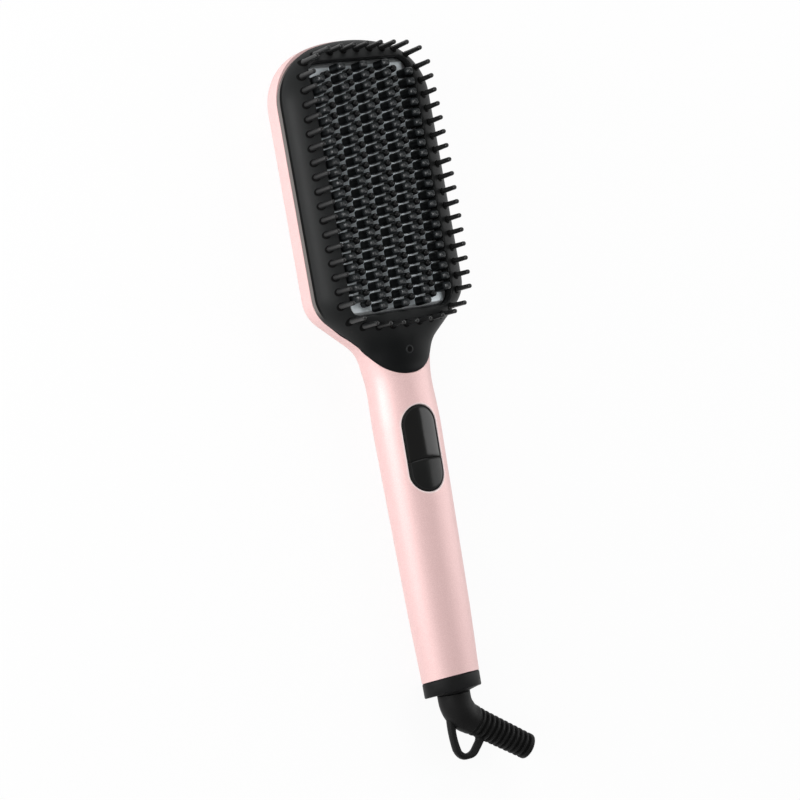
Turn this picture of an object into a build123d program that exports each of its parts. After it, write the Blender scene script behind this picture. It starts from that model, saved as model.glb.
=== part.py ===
import os
from math import atan2, cos, degrees, radians, sin, tan

from build123d import *

os.makedirs("parts", exist_ok=True)

# Driving dimensions in millimetres.
# X runs across the brush, Y towards the tip of the head, Z from the back towards the bristle tips.

# Head outline
head_half_width = 37.6
head_tip_y = 69.3
tip_bow_radius = 71.0
tip_corner_radius = 26.0
waist_y = -48.5
waist_radius = 16.0
neck_half_width = 13.0
neck_y = -72.0
neck_radius = 14.0
bow_steps = 3
corner_steps = 8
waist_steps = 4

# Head section
head_height = 29.0
parting_z = 15.4
shoulder_radius = 13.4
back_radius = 9.0
wall = 2.2
slip = 0.1

# Handle stations: position, half width, centre height and half height
handle_flatness = 0.8
oval_sides = 24
back_steps = 3
crown_steps = 4
handle_stations = [
    (-58.0, 22.0, 13.2, 13.1),
    (-66.0, 18.9, 13.0, 12.95),
    (-76.0, 16.7, 12.9, 12.85),
    (-90.0, 16.1, 12.9, 12.88),
    (-215.0, 14.0, 12.2, 11.2),
]
handle_end_y = -215.0
swivel_z = 12.2

# Tongue of the front cover
funnel_half_width = 17.8
funnel_y = -66.0
tongue_half_width = 13.8
tongue_y = -72.5
tongue_end_half_width = 12.4
tongue_end_rise = 3.0
tongue_end_draw = 3.6
tongue_end_y = -80.5
cover_screw_y = -69.7
cover_screw_head_radius = 2.8
cover_screw_seat_z = 23.4
cover_boss_z = 18.0
screw_play = 0.05

# Plate opening
opening_width = 51.5
opening_length = 111.2
opening_y = 3.0
opening_radius = 6.0
opening_steps = 4
opening_wall = 1.4
plate_gap = 0.3
flange_width = 1.3
flange_low_z = 20.4
flange_top_z = 22.2
floor_z = 23.4

# Teeth on the plate
tooth_pitch_x = 11.13
tooth_pitch_y = 4.63
fin_columns = 5
fin_rows = 24
fin_width = 4.4
fin_thickness = 3.8
fin_height = 6.9
fin_taper = 3.6
tip_height = 1.9
tip_taper = 14.0
stub_radius = 2.4
stub_height = 5.0
stub_taper = 6.0

# Guard pins
guard_pin_radius = 1.08
guard_tip_z = 38.2
guard_point_height = 1.0
guard_point_taper = 24.0
guard_hole_play = 0.08
guard_pitch = 6.25
guard_side_x = head_half_width - 6.8
guard_side_centre_y = -3.0
guard_side_bow = 0.00064
guard_side_first = -8
guard_side_last = 8
guard_strip_width = 2.2
guard_strip_z = 21.0
guard_tip_points = [(-25.8, 59.5), (-19.7, 62.4), (-13.2, 62.9), (-6.6, 63.2), (0.0, 63.3)]
guard_heel_points = [(-25.5, -53.8), (-19.8, -56.8), (-13.3, -57.7), (-6.7, -58.1), (0.0, -58.2)]

# Heater stack under the plate
heater_thickness = 1.3
heater_width = 15.0
heater_length = opening_length - 27.0
heater_x = 12.0
mica_thickness = 0.4
mica_width = opening_width - 5.5
mica_length = opening_length - 11.2
clamp_thickness = 1.0
clamp_screw_x = mica_width / 2 - 2.5
clamp_screw_offset_y = mica_length / 2 - 5.0
clamp_boss_radius = 2.6
clamp_screw_radius = 1.2
clamp_screw_head_radius = 2.3
clamp_screw_head = 1.2
clamp_screw_reach = 22.3
frame_low_z = 12.0
frame_wall = 3.6
crossbar_width = 6.0
crossbar_offset_y = 26.0

# Control pill in the handle
pill_y = -113.25
pill_length = 38.5
pill_half_width = 8.75
pill_steps = 5
pill_seam = 0.25
split_y = -118.3
button_gap = 0.3
button_raise = 0.45
button_depth = 1.6
lens_recess = 0.2
lens_depth = 1.8
button_travel = 0.6
frame_flange_low_z = 17.8
frame_flange_top_z = 19.3

# Electronics
board_low_z = 11.2
board_thickness = 1.6
board_half_width = 9.5
board_first_y = -98.0
board_last_y = -186.0
switch_y = -125.2

# Posts, tabs and screws
post_x = opening_width / 2 + 0.75
post_offset_y = opening_length / 2 - 12.6
post_radius = 2.4
cover_post_radius = 4.2
cover_screw_low_z = 8.0
cover_screw_head = 1.4
cover_screw_play = 0.3
screw_radius = 1.4
screw_end_gap = 0.5
cross_slot = 0.8
cross_depth = 0.7
tab_positions = (-25.0, 30.0)
tab_width = 10.0
tab_thickness = 1.6
tab_root = 1.2
tab_depth = 4.0
board_post_radius = 3.0
board_screw_low_z = 4.0
board_screw_radius = 1.1
board_screw_first_y = -119.6
board_screw_last_y = -180.0
stub_sides = 4
round_sides = 8
pin_sides = 6

# Control pill details
carrier_wall = 1.2
flange_reach = 1.2
divider_width = 1.2
divider_top_z = 21.2
button_flange_top_z = 17.5
button_flange = 0.9
button_flange_width = 15.6
button_flange_length = 11.6
plunger_radius = 1.2
plunger_play = 0.08
plunger_low_z = 14.2
plunger_top_z = 16.0
switch_size = 6.0
switch_height = 2.6

# Parts on the board and under the plate
display_y = -107.6
display_width = 12.8
display_length = 16.0
display_height = 6.2
capacitor_y = -150.0
capacitor_width = 8.0
capacitor_length = 18.0
capacitor_height = 8.0
triac_y = -168.0
triac_width = 10.0
triac_length = 9.0
triac_height = 4.5
thermistor_offset_y = 18.0
thermistor_length = 7.0
thermistor_width = 3.2
fuse_y = 10.0
fuse_radius = 1.8
fuse_length = 12.0

# End cap and cord swivel
cap_length = 6.7
cap_rim = 0.8
cap_wall = 4.0
spigot_length = 7.0
spigot_wall = 1.4
spigot_inset = wall + slip + spigot_wall
journal_radius = 5.5
journal_play = 0.05
journal_shoulder = 1.0
journal_end_y = -206.5
clip_gap = 0.3
clip_thickness = 0.8
clip_seat_radius = 4.6
clip_radius = 7.0
clip_mouth = 6.0
ring_seat_radius = 4.2
ring_radius = 4.9
ring_width = 1.6
ring_margin = 1.0
ring_pitch = 3.0
leaf_gap = 0.3
leaf_thickness = 0.4
leaf_width = 2.4
block_gap = 1.0
block_thickness = 3.0
neck_radius_outer = 7.4
neck_gap = 0.3
bend_y = -230.9
bend_angle = 35.0
bend_tangent = 6.0
bend_steps = 3
boot_sides = 12
cord_stop = 12.0
wire_spread = 1.6
wire_hole_radius = 1.0
sleeve_start = 12.5
sleeve_end = 40.0
sleeve_start_radius = 6.4
sleeve_end_radius = 5.9
socket_depth = 5.0
wire_radius = 2.6
cord_radius = 3.4
rib_count = 9
rib_pitch = 2.8
rib_lead = 1.4
rib_groove = 1.1
rib_core_radius = 4.9
loop_thickness = 4.0
loop_outer = [
    (-6.0, -230.0),
    (-6.6, -238.7),
    (-5.8, -245.3),
    (-4.1, -249.3),
    (-1.6, -251.7),
    (2.2, -252.5),
    (5.6, -251.0),
    (8.6, -248.7),
    (14.5, -243.0),
    (6.0, -233.0),
]
loop_hole = [
    (-2.5, -237.6),
    (-2.6, -244.3),
    (-1.2, -248.6),
    (0.8, -249.5),
    (3.1, -249.5),
    (6.8, -246.3),
    (7.2, -244.8),
    (-1.4, -237.2),
]


def quarter_turn(steps):
    """Angles of a quarter circle, from its start to its end."""
    return [radians(90 * step / steps) for step in range(steps + 1)]


def outline_arcs():
    """Centre, radius, first and last angle and steps of each arc down the right side of the head."""
    bow_y = head_tip_y - tip_bow_radius
    corner_x = head_half_width - tip_corner_radius
    corner_y = bow_y + ((tip_bow_radius - tip_corner_radius) ** 2 - corner_x**2) ** 0.5
    tip_turn = degrees(atan2(corner_y - bow_y, corner_x))
    slope = degrees(atan2(head_half_width - neck_half_width, waist_y - neck_y))
    waist_centre_y = waist_y + waist_radius * tan(radians(slope) / 2)
    neck_centre_x = neck_half_width - neck_radius * tan(radians(90 - slope) / 2)
    return [
        (0, bow_y, tip_bow_radius, 90, tip_turn, bow_steps),
        (corner_x, corner_y, tip_corner_radius, tip_turn, 0, corner_steps),
        (head_half_width - waist_radius, waist_centre_y, waist_radius, 0, -slope, waist_steps),
        (neck_centre_x, neck_y + neck_radius, neck_radius, -slope, -90, waist_steps),
    ]


def outline_points(inset):
    """Corners of the head outline, drawn in by some amount; it has the same number at every inset."""
    right = []
    for centre_x, centre_y, radius, first, last, steps in outline_arcs():
        for step in range(steps + 1):
            turn = radians(first + (last - first) * step / steps)
            x = centre_x + (radius - inset) * cos(turn)
            y = centre_y + (radius - inset) * sin(turn)
            if not right or abs(x - right[-1][0]) + abs(y - right[-1][1]) > slip:
                right.append((x, y))
    return right + [(-x, y) for x, y in reversed(right[1:])]


def head_form(inset):
    """The head without its handle: the shield outline, drawn in by stages over the back and the crown."""
    back = back_radius - inset
    crown = shoulder_radius - inset
    levels = []
    for turn in reversed(quarter_turn(back_steps)):
        levels.append((inset + back * (1 - cos(turn)), inset + back * (1 - sin(turn))))
    for turn in quarter_turn(crown_steps):
        levels.append((inset + crown * (1 - cos(turn)), head_height - inset - crown * (1 - sin(turn))))
    with BuildPart(mode=Mode.PRIVATE) as form:
        for depth, height in levels:
            with BuildSketch(Plane.XY.offset(height)):
                with BuildLine():
                    Polyline(*outline_points(depth), close=True)
                make_face()
        loft(ruled=True)
    return form.part


def oval_points(half_width, half_height, centre_z):
    """Corners of an oval section with flat sides, standing on its centre height."""
    turns = [radians(360 * side / oval_sides) for side in range(oval_sides)]
    return [(half_width * cos(turn), centre_z + half_height * sin(turn)) for turn in turns]


def handle_form(inset):
    """The handle: a flare of oval sections out of the head, then a straight tapered grip."""
    with BuildPart(mode=Mode.PRIVATE) as form:
        for y, half_width, centre_z, half_height in handle_stations:
            with BuildSketch(Plane.XZ.offset(-y)):
                with BuildLine():
                    Polyline(*oval_points(half_width - inset / handle_flatness, half_height - inset, centre_z), close=True)
                make_face()
        loft(ruled=True)
    return form.part


def soft_corners(half_x, half_y, radius, steps):
    """Corners of a rectangle about its centre, each rounded by a few straight steps."""
    points = []
    for start, sign_x, sign_y in ((0, 1, 1), (90, -1, 1), (180, -1, -1), (270, 1, -1)):
        for step in range(steps + 1):
            turn = radians(start + 90 * step / steps)
            x = sign_x * (half_x - radius) + radius * cos(turn)
            y = sign_y * (half_y - radius) + radius * sin(turn)
            points.append((x, y))
    return points


def slab(first_y, last_y):
    """A block across the handle between two positions, for cutting slices of the handle form."""
    with BuildPart(mode=Mode.PRIVATE) as block:
        with Locations((0, (first_y + last_y) / 2, head_height / 2)):
            Box(2 * head_half_width, abs(first_y - last_y), 2 * head_height)
    return block.part


def cover_blank():
    """Everything above the parting that belongs to the front cover, with its tongue."""
    with BuildPart(mode=Mode.PRIVATE) as blank:
        with BuildSketch(Plane.XY.offset(parting_z)):
            with BuildLine():
                edge = head_half_width + wall
                Polyline(
                    (-edge, head_tip_y + wall),
                    (edge, head_tip_y + wall),
                    (edge, waist_y),
                    (funnel_half_width, funnel_y),
                    (tongue_half_width, tongue_y),
                    (tongue_end_half_width, tongue_end_y + tongue_end_rise),
                    (tongue_end_half_width - tongue_end_draw, tongue_end_y),
                    (tongue_end_draw - tongue_end_half_width, tongue_end_y),
                    (-tongue_end_half_width, tongue_end_y + tongue_end_rise),
                    (-tongue_half_width, tongue_y),
                    (-funnel_half_width, funnel_y),
                    (-edge, waist_y),
                    (-edge, head_tip_y + wall),
                )
            make_face()
        extrude(amount=head_height)
    return blank.part


def opening_block(grow, low_z, high_z):
    """A block of the plate opening's rounded outline, grown outwards by some amount."""
    with BuildPart(mode=Mode.PRIVATE) as block:
        with BuildSketch(Plane.XY.offset(low_z)):
            with BuildLine():
                corners = soft_corners(
                    opening_width / 2 + grow,
                    opening_length / 2 + grow,
                    opening_radius + grow,
                    opening_steps,
                )
                Polyline(*[(x, opening_y + y) for x, y in corners], close=True)
            make_face()
        extrude(amount=high_z - low_z)
    return block.part


def pill_points(radius):
    """Corners of the control pill's outline, round at both ends, for a given half width."""
    points = []
    for end in (1, -1):
        for step in range(2 * pill_steps + 1):
            turn = radians(90 * step / pill_steps)
            x = end * radius * cos(turn)
            y = end * (pill_length / 2 - pill_half_width + radius * sin(turn))
            points.append((x, pill_y + y))
    return points


def pill_block(grow, low_z, high_z):
    """A block of the control pill's outline, grown outwards by some amount."""
    with BuildPart(mode=Mode.PRIVATE) as block:
        with BuildSketch(Plane.XY.offset(low_z)):
            with BuildLine():
                Polyline(*pill_points(pill_half_width + grow), close=True)
            make_face()
        extrude(amount=high_z - low_z)
    return block.part


def side_points(side):
    """The guard pins along one side, on a slightly bowed line."""
    points = []
    for row in range(guard_side_first, guard_side_last + 1):
        y = guard_pitch * (row + 0.5)
        x = guard_side_x - guard_side_bow * (y - guard_side_centre_y) ** 2
        points.append((side * x, y))
    return points


def mirrored(points):
    """A row given from its left end to the middle, completed to its right end."""
    return points + [(-x, y) for x, y in reversed(points[:-1])]


head_outer = head_form(0)
head_inner = head_form(wall)
handle_outer = handle_form(0)
handle_inner = handle_form(wall)
head_fit = head_form(wall + slip)
handle_fit = handle_form(wall + slip)
blank = cover_blank()

guard_rows = {
    "guard_pins_left": side_points(-1),
    "guard_pins_right": side_points(1),
    "guard_pins_tip": mirrored(guard_tip_points),
    "guard_pins_heel": mirrored(guard_heel_points),
}
all_guard_points = [point for row in guard_rows.values() for point in row]
clamp_points = [
    (x, opening_y + y)
    for x in (-clamp_screw_x, clamp_screw_x)
    for y in (-clamp_screw_offset_y, clamp_screw_offset_y)
]
frame_post_points = [
    (x, opening_y + y)
    for x in (-post_x, post_x)
    for y in (-post_offset_y, 0, post_offset_y)
]
board_points = [(0, board_screw_first_y), (0, board_screw_last_y)]
heater_top_z = flange_low_z
heater_low_z = heater_top_z - heater_thickness
mica_low_z = heater_low_z - mica_thickness
clamp_low_z = mica_low_z - clamp_thickness
board_top_z = board_low_z + board_thickness

# Rear shell: head tray and tubular handle in one moulding
with BuildPart() as body_shell:
    add(head_outer)
    add(handle_outer)
    add(blank, mode=Mode.SUBTRACT)
    add(head_inner, mode=Mode.SUBTRACT)
    add(handle_inner, mode=Mode.SUBTRACT)
    with BuildSketch(Plane.XY.offset(wall - slip)):
        with Locations(*frame_post_points):
            RegularPolygon(post_radius, round_sides)
    extrude(amount=frame_low_z - wall + slip)
    with BuildSketch(Plane.XY.offset(wall / 2)):
        with Locations((0, cover_screw_y)):
            RegularPolygon(cover_post_radius, round_sides)
    extrude(amount=cover_boss_z - wall / 2)
    with BuildSketch(Plane.XY.offset(wall)):
        with Locations(*board_points):
            RegularPolygon(board_post_radius, round_sides)
    extrude(amount=board_low_z - wall)
    with BuildSketch(Plane.XY.offset(cover_screw_low_z)):
        with Locations((0, cover_screw_y)):
            RegularPolygon(screw_radius + screw_play, round_sides)
    extrude(amount=head_height, mode=Mode.SUBTRACT)
    with BuildSketch(Plane.XY.offset(board_screw_low_z)):
        with Locations(*board_points):
            RegularPolygon(board_screw_radius + screw_play, round_sides)
    extrude(amount=board_low_z - board_screw_low_z, mode=Mode.SUBTRACT)
    add(pill_block(0, board_top_z, head_height), mode=Mode.SUBTRACT)
body_shell.part.label = "body_shell"
export_step(body_shell.part, "parts/body_shell.step")

# Front cover: crowned ring round the plate, with the tongue that is screwed to the handle
with BuildPart() as opening_ring:
    add(opening_block(opening_wall, flange_top_z, head_height))
    add(head_outer, mode=Mode.INTERSECT)
with BuildPart() as front_cover:
    add(head_outer)
    add(handle_outer)
    add(blank, mode=Mode.INTERSECT)
    add(head_inner, mode=Mode.SUBTRACT)
    add(handle_inner, mode=Mode.SUBTRACT)
    add(opening_ring.part)
    with BuildSketch(Plane.XY.offset(cover_boss_z)):
        with Locations((0, cover_screw_y)):
            RegularPolygon(cover_post_radius, round_sides)
    extrude(amount=cover_screw_seat_z - cover_boss_z)
    with BuildSketch(Plane.XY.offset(parting_z)):
        for side in (-1, 1):
            for y in tab_positions:
                with Locations((side * (head_half_width - wall - slip - tab_thickness / 2 + tab_root / 2), y)):
                    Rectangle(tab_thickness + tab_root, tab_width)
    extrude(amount=tab_root)
    with BuildSketch(Plane.XY.offset(parting_z)):
        for side in (-1, 1):
            for y in tab_positions:
                with Locations((side * (head_half_width - wall - slip - tab_thickness / 2), y)):
                    Rectangle(tab_thickness, tab_width)
    extrude(amount=-tab_depth)
    add(opening_block(0, flange_top_z, 2 * head_height), mode=Mode.SUBTRACT)
    with BuildSketch(Plane.XY.offset(guard_strip_z)):
        with Locations(*all_guard_points):
            RegularPolygon(guard_pin_radius + guard_hole_play, pin_sides)
    extrude(amount=head_height, mode=Mode.SUBTRACT)
    with BuildSketch(Plane.XY.offset(cover_screw_low_z)):
        with Locations((0, cover_screw_y)):
            RegularPolygon(screw_radius + screw_play, round_sides)
    extrude(amount=head_height, mode=Mode.SUBTRACT)
    with BuildSketch(Plane.XY.offset(cover_screw_seat_z)):
        with Locations((0, cover_screw_y)):
            RegularPolygon(cover_screw_head_radius + cover_screw_play, round_sides)
    extrude(amount=head_height, mode=Mode.SUBTRACT)
front_cover.part.label = "front_cover"
export_step(front_cover.part, "parts/front_cover.step")

# Screw through the tongue into the post of the shell
with BuildPart() as cover_screw:
    with BuildSketch(Plane.XY.offset(cover_screw_low_z + screw_end_gap)):
        with Locations((0, cover_screw_y)):
            RegularPolygon(screw_radius, round_sides)
    extrude(amount=cover_screw_seat_z - cover_screw_low_z - screw_end_gap)
    with BuildSketch(Plane.XY.offset(cover_screw_seat_z)):
        with Locations((0, cover_screw_y)):
            RegularPolygon(cover_screw_head_radius, round_sides)
    extrude(amount=cover_screw_head)
    with BuildSketch(Plane.XY.offset(cover_screw_seat_z + cover_screw_head)):
        with Locations((0, cover_screw_y)):
            Rectangle(cover_screw_head_radius, cross_slot)
            Rectangle(cross_slot, cover_screw_head_radius)
    extrude(amount=-cross_depth, mode=Mode.SUBTRACT)
cover_screw.part.label = "cover_screw"
export_step(cover_screw.part, "parts/cover_screw.step")

# Guard pins: each row is moulded on a strip that lies under the cover
for name, points in guard_rows.items():
    with BuildPart() as guard_row:
        with BuildSketch(Plane.XY.offset(guard_strip_z)):
            with BuildLine():
                Polyline(*points)
            trace(line_width=guard_strip_width)
        extrude(amount=head_height)
        add(head_fit, mode=Mode.INTERSECT)
        with BuildSketch(Plane.XY.offset(guard_strip_z)):
            with Locations(*points):
                RegularPolygon(guard_pin_radius, pin_sides)
        extrude(amount=guard_tip_z - guard_point_height - guard_strip_z)
        with BuildSketch(Plane.XY.offset(guard_tip_z - guard_point_height)):
            with Locations(*points):
                RegularPolygon(guard_pin_radius, pin_sides)
        extrude(amount=guard_point_height, taper=guard_point_taper)
    guard_row.part.label = name
    export_step(guard_row.part, f"parts/{name}.step")

# Heating plate: flanged plate with its field of tapered fins
fin_points = []
for column in range(fin_columns):
    for row in range(fin_rows):
        corner = column in (0, fin_columns - 1) and row in (0, fin_rows - 1)
        if not corner:
            x = tooth_pitch_x * (column - (fin_columns - 1) / 2)
            fin_points.append((x, opening_y + tooth_pitch_y * (row - (fin_rows - 1) / 2)))
with BuildPart() as heating_plate:
    add(opening_block(flange_width, flange_low_z, flange_top_z))
    add(opening_block(-plate_gap, flange_low_z, floor_z))
    with BuildSketch(Plane.XY.offset(floor_z)):
        with Locations(*fin_points):
            Rectangle(fin_width, fin_thickness)
    extrude(amount=fin_height, taper=fin_taper)
    with BuildSketch(Plane.XY.offset(clamp_low_z + clamp_thickness)):
        with Locations(*clamp_points):
            RegularPolygon(clamp_boss_radius, round_sides)
    extrude(amount=flange_low_z - clamp_low_z - clamp_thickness)
    with BuildSketch(Plane.XY.offset(clamp_low_z)):
        with Locations(*clamp_points):
            RegularPolygon(clamp_screw_radius + screw_play, round_sides)
    extrude(amount=clamp_screw_reach + screw_end_gap - clamp_low_z, mode=Mode.SUBTRACT)
heating_plate.part.label = "heating_plate"
export_step(heating_plate.part, "parts/heating_plate.step")

# Rounded cool tips on the fins
fin_draw = fin_height * tan(radians(fin_taper))
with BuildPart() as tooth_tips:
    with BuildSketch(Plane.XY.offset(floor_z + fin_height)):
        with Locations(*fin_points):
            Rectangle(fin_width - 2 * fin_draw, fin_thickness - 2 * fin_draw)
    extrude(amount=tip_height, taper=tip_taper)
tooth_tips.part.label = "tooth_tips"
export_step(tooth_tips.part, "parts/tooth_tips.step")

# Stub teeth standing between the fins, half a pitch away both ways
with BuildPart() as nylon_teeth:
    with BuildSketch(Plane.XY.offset(floor_z)):
        with Locations((0, opening_y)):
            with GridLocations(tooth_pitch_x, tooth_pitch_y, fin_columns - 1, fin_rows - 1):
                RegularPolygon(stub_radius, stub_sides, rotation=180 / stub_sides)
    extrude(amount=stub_height, taper=stub_taper)
nylon_teeth.part.label = "nylon_teeth"
export_step(nylon_teeth.part, "parts/nylon_teeth.step")

# Ceramic heater bars pressed against the underside of the plate
with BuildPart() as ceramic_heaters:
    with BuildSketch(Plane.XY.offset(heater_low_z)):
        with Locations((-heater_x, opening_y), (heater_x, opening_y)):
            Rectangle(heater_width, heater_length)
    extrude(amount=heater_thickness)
ceramic_heaters.part.label = "ceramic_heaters"
export_step(ceramic_heaters.part, "parts/ceramic_heaters.step")

# Temperature sensor between the two bars
with BuildPart() as thermistor:
    with BuildSketch(Plane.XY.offset(heater_low_z)):
        with Locations((0, opening_y + thermistor_offset_y)):
            Rectangle(thermistor_width, thermistor_length)
    extrude(amount=heater_thickness)
thermistor.part.label = "thermistor"
export_step(thermistor.part, "parts/thermistor.step")

# Mica sheet that insulates the bars from the clamp
with BuildPart() as mica_sheet:
    with BuildSketch(Plane.XY.offset(mica_low_z)):
        with Locations((0, opening_y)):
            Rectangle(mica_width, mica_length)
        with Locations(*clamp_points):
            RegularPolygon(clamp_boss_radius + slip, round_sides, mode=Mode.SUBTRACT)
    extrude(amount=mica_thickness)
mica_sheet.part.label = "mica_sheet"
export_step(mica_sheet.part, "parts/mica_sheet.step")

# Steel clamp plate, screwed to the bosses of the heating plate
with BuildPart() as heater_clamp:
    with BuildSketch(Plane.XY.offset(clamp_low_z)):
        with Locations((0, opening_y)):
            Rectangle(mica_width, mica_length)
        with Locations(*clamp_points):
            RegularPolygon(clamp_screw_radius + screw_play, round_sides, mode=Mode.SUBTRACT)
    extrude(amount=clamp_thickness)
heater_clamp.part.label = "heater_clamp"
export_step(heater_clamp.part, "parts/heater_clamp.step")

# Four clamp screws
with BuildPart() as clamp_screws:
    with BuildSketch(Plane.XY.offset(clamp_low_z)):
        with Locations(*clamp_points):
            RegularPolygon(clamp_screw_radius, round_sides)
    extrude(amount=clamp_screw_reach - clamp_low_z)
    with BuildSketch(Plane.XY.offset(clamp_low_z - clamp_screw_head)):
        with Locations(*clamp_points):
            RegularPolygon(clamp_screw_head_radius, round_sides)
    extrude(amount=clamp_screw_head)
clamp_screws.part.label = "clamp_screws"
export_step(clamp_screws.part, "parts/clamp_screws.step")

# Thermal fuse in a cradle position under the clamp plate
with BuildPart() as thermal_fuse:
    with BuildSketch(Plane.XZ.offset(-fuse_y)):
        with Locations((0, clamp_low_z - fuse_radius)):
            RegularPolygon(fuse_radius, round_sides, rotation=180 / round_sides)
    extrude(amount=fuse_length)
thermal_fuse.part.label = "thermal_fuse"
export_step(thermal_fuse.part, "parts/thermal_fuse.step")

# Heat resisting frame: carries the plate's flange and stands on the posts of the shell
with BuildPart() as plate_frame:
    add(opening_block(flange_width, frame_low_z, flange_low_z))
    add(opening_block(flange_width - frame_wall, frame_low_z, flange_low_z), mode=Mode.SUBTRACT)
    with BuildSketch(Plane.XY.offset(frame_low_z)):
        with Locations((0, opening_y - crossbar_offset_y), (0, opening_y + crossbar_offset_y)):
            Rectangle(opening_width, crossbar_width)
    extrude(amount=clamp_low_z - frame_low_z)
plate_frame.part.label = "plate_frame"
export_step(plate_frame.part, "parts/plate_frame.step")

# Carrier under the control pill: holds the lens up and guides the button
button_low_y = pill_y - pill_length / 2
button_zone = slab(split_y - button_gap / 2, button_low_y - wall)
lens_zone = slab(split_y + button_gap / 2, pill_y + pill_length)
with BuildPart() as carrier_blank:
    add(pill_block(-slip, frame_flange_low_z, head_height))
    add(handle_form(lens_depth), mode=Mode.INTERSECT)
    add(pill_block(-carrier_wall, frame_flange_low_z, head_height), mode=Mode.SUBTRACT)
    add(button_zone, mode=Mode.SUBTRACT)
with BuildPart() as button_frame:
    add(pill_block(flange_reach, frame_flange_low_z, frame_flange_top_z))
    add(handle_fit, mode=Mode.INTERSECT)
    add(pill_block(-carrier_wall, frame_flange_low_z, frame_flange_top_z), mode=Mode.SUBTRACT)
    add(carrier_blank.part)
    with BuildSketch(Plane.XY.offset(frame_flange_low_z)):
        with Locations((0, split_y + divider_width / 2 + button_gap / 2)):
            Rectangle(2 * pill_half_width - carrier_wall, divider_width)
    extrude(amount=divider_top_z - frame_flange_low_z)
button_frame.part.label = "button_frame"
export_step(button_frame.part, "parts/button_frame.step")

# Glossy lens, set a little below the surface of the handle
with BuildPart() as display_lens:
    add(pill_block(-pill_seam, board_top_z, head_height))
    add(handle_form(lens_recess), mode=Mode.INTERSECT)
    add(handle_form(lens_depth), mode=Mode.SUBTRACT)
    add(lens_zone, mode=Mode.INTERSECT)
display_lens.part.label = "display_lens"
export_step(display_lens.part, "parts/display_lens.step")

# Power button: curved cap on a column, held in by a flange below the carrier
with BuildPart() as button_cap:
    add(pill_block(-button_gap, board_top_z, 2 * head_height))
    add(handle_form(-button_raise), mode=Mode.INTERSECT)
    add(handle_form(button_depth), mode=Mode.SUBTRACT)
    add(button_zone, mode=Mode.INTERSECT)
with BuildPart() as power_button:
    add(pill_block(-carrier_wall - button_gap, button_flange_top_z, head_height))
    add(handle_form(button_depth / 2), mode=Mode.INTERSECT)
    add(button_zone, mode=Mode.INTERSECT)
    add(button_cap.part)
    with BuildSketch(Plane.XY.offset(button_flange_top_z - button_flange)):
        with Locations((0, switch_y)):
            Rectangle(button_flange_width, button_flange_length)
        with Locations((0, switch_y)):
            RegularPolygon(plunger_radius, round_sides)
    extrude(amount=button_flange)
    with BuildSketch(Plane.XY.offset(plunger_top_z)):
        with Locations((0, switch_y)):
            RegularPolygon(plunger_radius, round_sides)
    extrude(amount=button_flange_top_z - button_flange - plunger_top_z)
power_button.part.label = "power_button"
export_step(power_button.part, "parts/power_button.step")

# Tact switch on the board, with its own plunger
with BuildPart() as tact_switch:
    with BuildSketch(Plane.XY.offset(board_top_z)):
        with Locations((0, switch_y)):
            Rectangle(switch_size, switch_size)
    extrude(amount=switch_height)
    with BuildSketch(Plane.XY.offset(plunger_low_z - button_travel - slip)):
        with Locations((0, switch_y)):
            RegularPolygon(plunger_radius + plunger_play, round_sides)
    extrude(amount=switch_height, mode=Mode.SUBTRACT)
tact_switch.part.label = "tact_switch"
export_step(tact_switch.part, "parts/tact_switch.step")

with BuildPart() as switch_plunger:
    with BuildSketch(Plane.XY.offset(plunger_low_z)):
        with Locations((0, switch_y)):
            RegularPolygon(plunger_radius, round_sides)
    extrude(amount=plunger_top_z - plunger_low_z)
switch_plunger.part.label = "switch_plunger"
export_step(switch_plunger.part, "parts/switch_plunger.step")

# Main board on two posts, with the parts that stand on it
board_length = board_first_y - board_last_y
board_centre_y = (board_first_y + board_last_y) / 2
with BuildPart() as main_pcb:
    with BuildSketch(Plane.XY.offset(board_low_z)):
        with Locations((0, board_centre_y)):
            Rectangle(2 * board_half_width, board_length)
        with Locations(*board_points):
            RegularPolygon(board_screw_radius + screw_play, round_sides, mode=Mode.SUBTRACT)
    extrude(amount=board_thickness)
main_pcb.part.label = "main_pcb"
export_step(main_pcb.part, "parts/main_pcb.step")

with BuildPart() as pcb_screws:
    with BuildSketch(Plane.XY.offset(board_screw_low_z + screw_end_gap)):
        with Locations(*board_points):
            RegularPolygon(board_screw_radius, round_sides)
    extrude(amount=board_top_z - board_screw_low_z - screw_end_gap)
    with BuildSketch(Plane.XY.offset(board_top_z)):
        with Locations(*board_points):
            RegularPolygon(2 * board_screw_radius, round_sides)
    extrude(amount=board_screw_radius)
pcb_screws.part.label = "pcb_screws"
export_step(pcb_screws.part, "parts/pcb_screws.step")

with BuildPart() as display_module:
    with BuildSketch(Plane.XY.offset(board_top_z)):
        with Locations((0, display_y)):
            Rectangle(display_width, display_length)
    extrude(amount=display_height)
display_module.part.label = "display_module"
export_step(display_module.part, "parts/display_module.step")

with BuildPart() as film_capacitor:
    with BuildSketch(Plane.XY.offset(board_top_z)):
        with Locations((0, capacitor_y)):
            Rectangle(capacitor_width, capacitor_length)
    extrude(amount=capacitor_height)
film_capacitor.part.label = "film_capacitor"
export_step(film_capacitor.part, "parts/film_capacitor.step")

with BuildPart() as triac:
    with BuildSketch(Plane.XY.offset(board_top_z)):
        with Locations((0, triac_y)):
            Rectangle(triac_width, triac_length)
    extrude(amount=triac_height)
triac.part.label = "triac"
export_step(triac.part, "parts/triac.step")

# End cap: collar flush with the handle, with a spigot inside it
last_half_width = handle_stations[-1][1]
last_half_height = handle_stations[-1][3]
cap_end_y = handle_end_y - cap_length
cap_wall_y = cap_end_y + cap_wall


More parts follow.
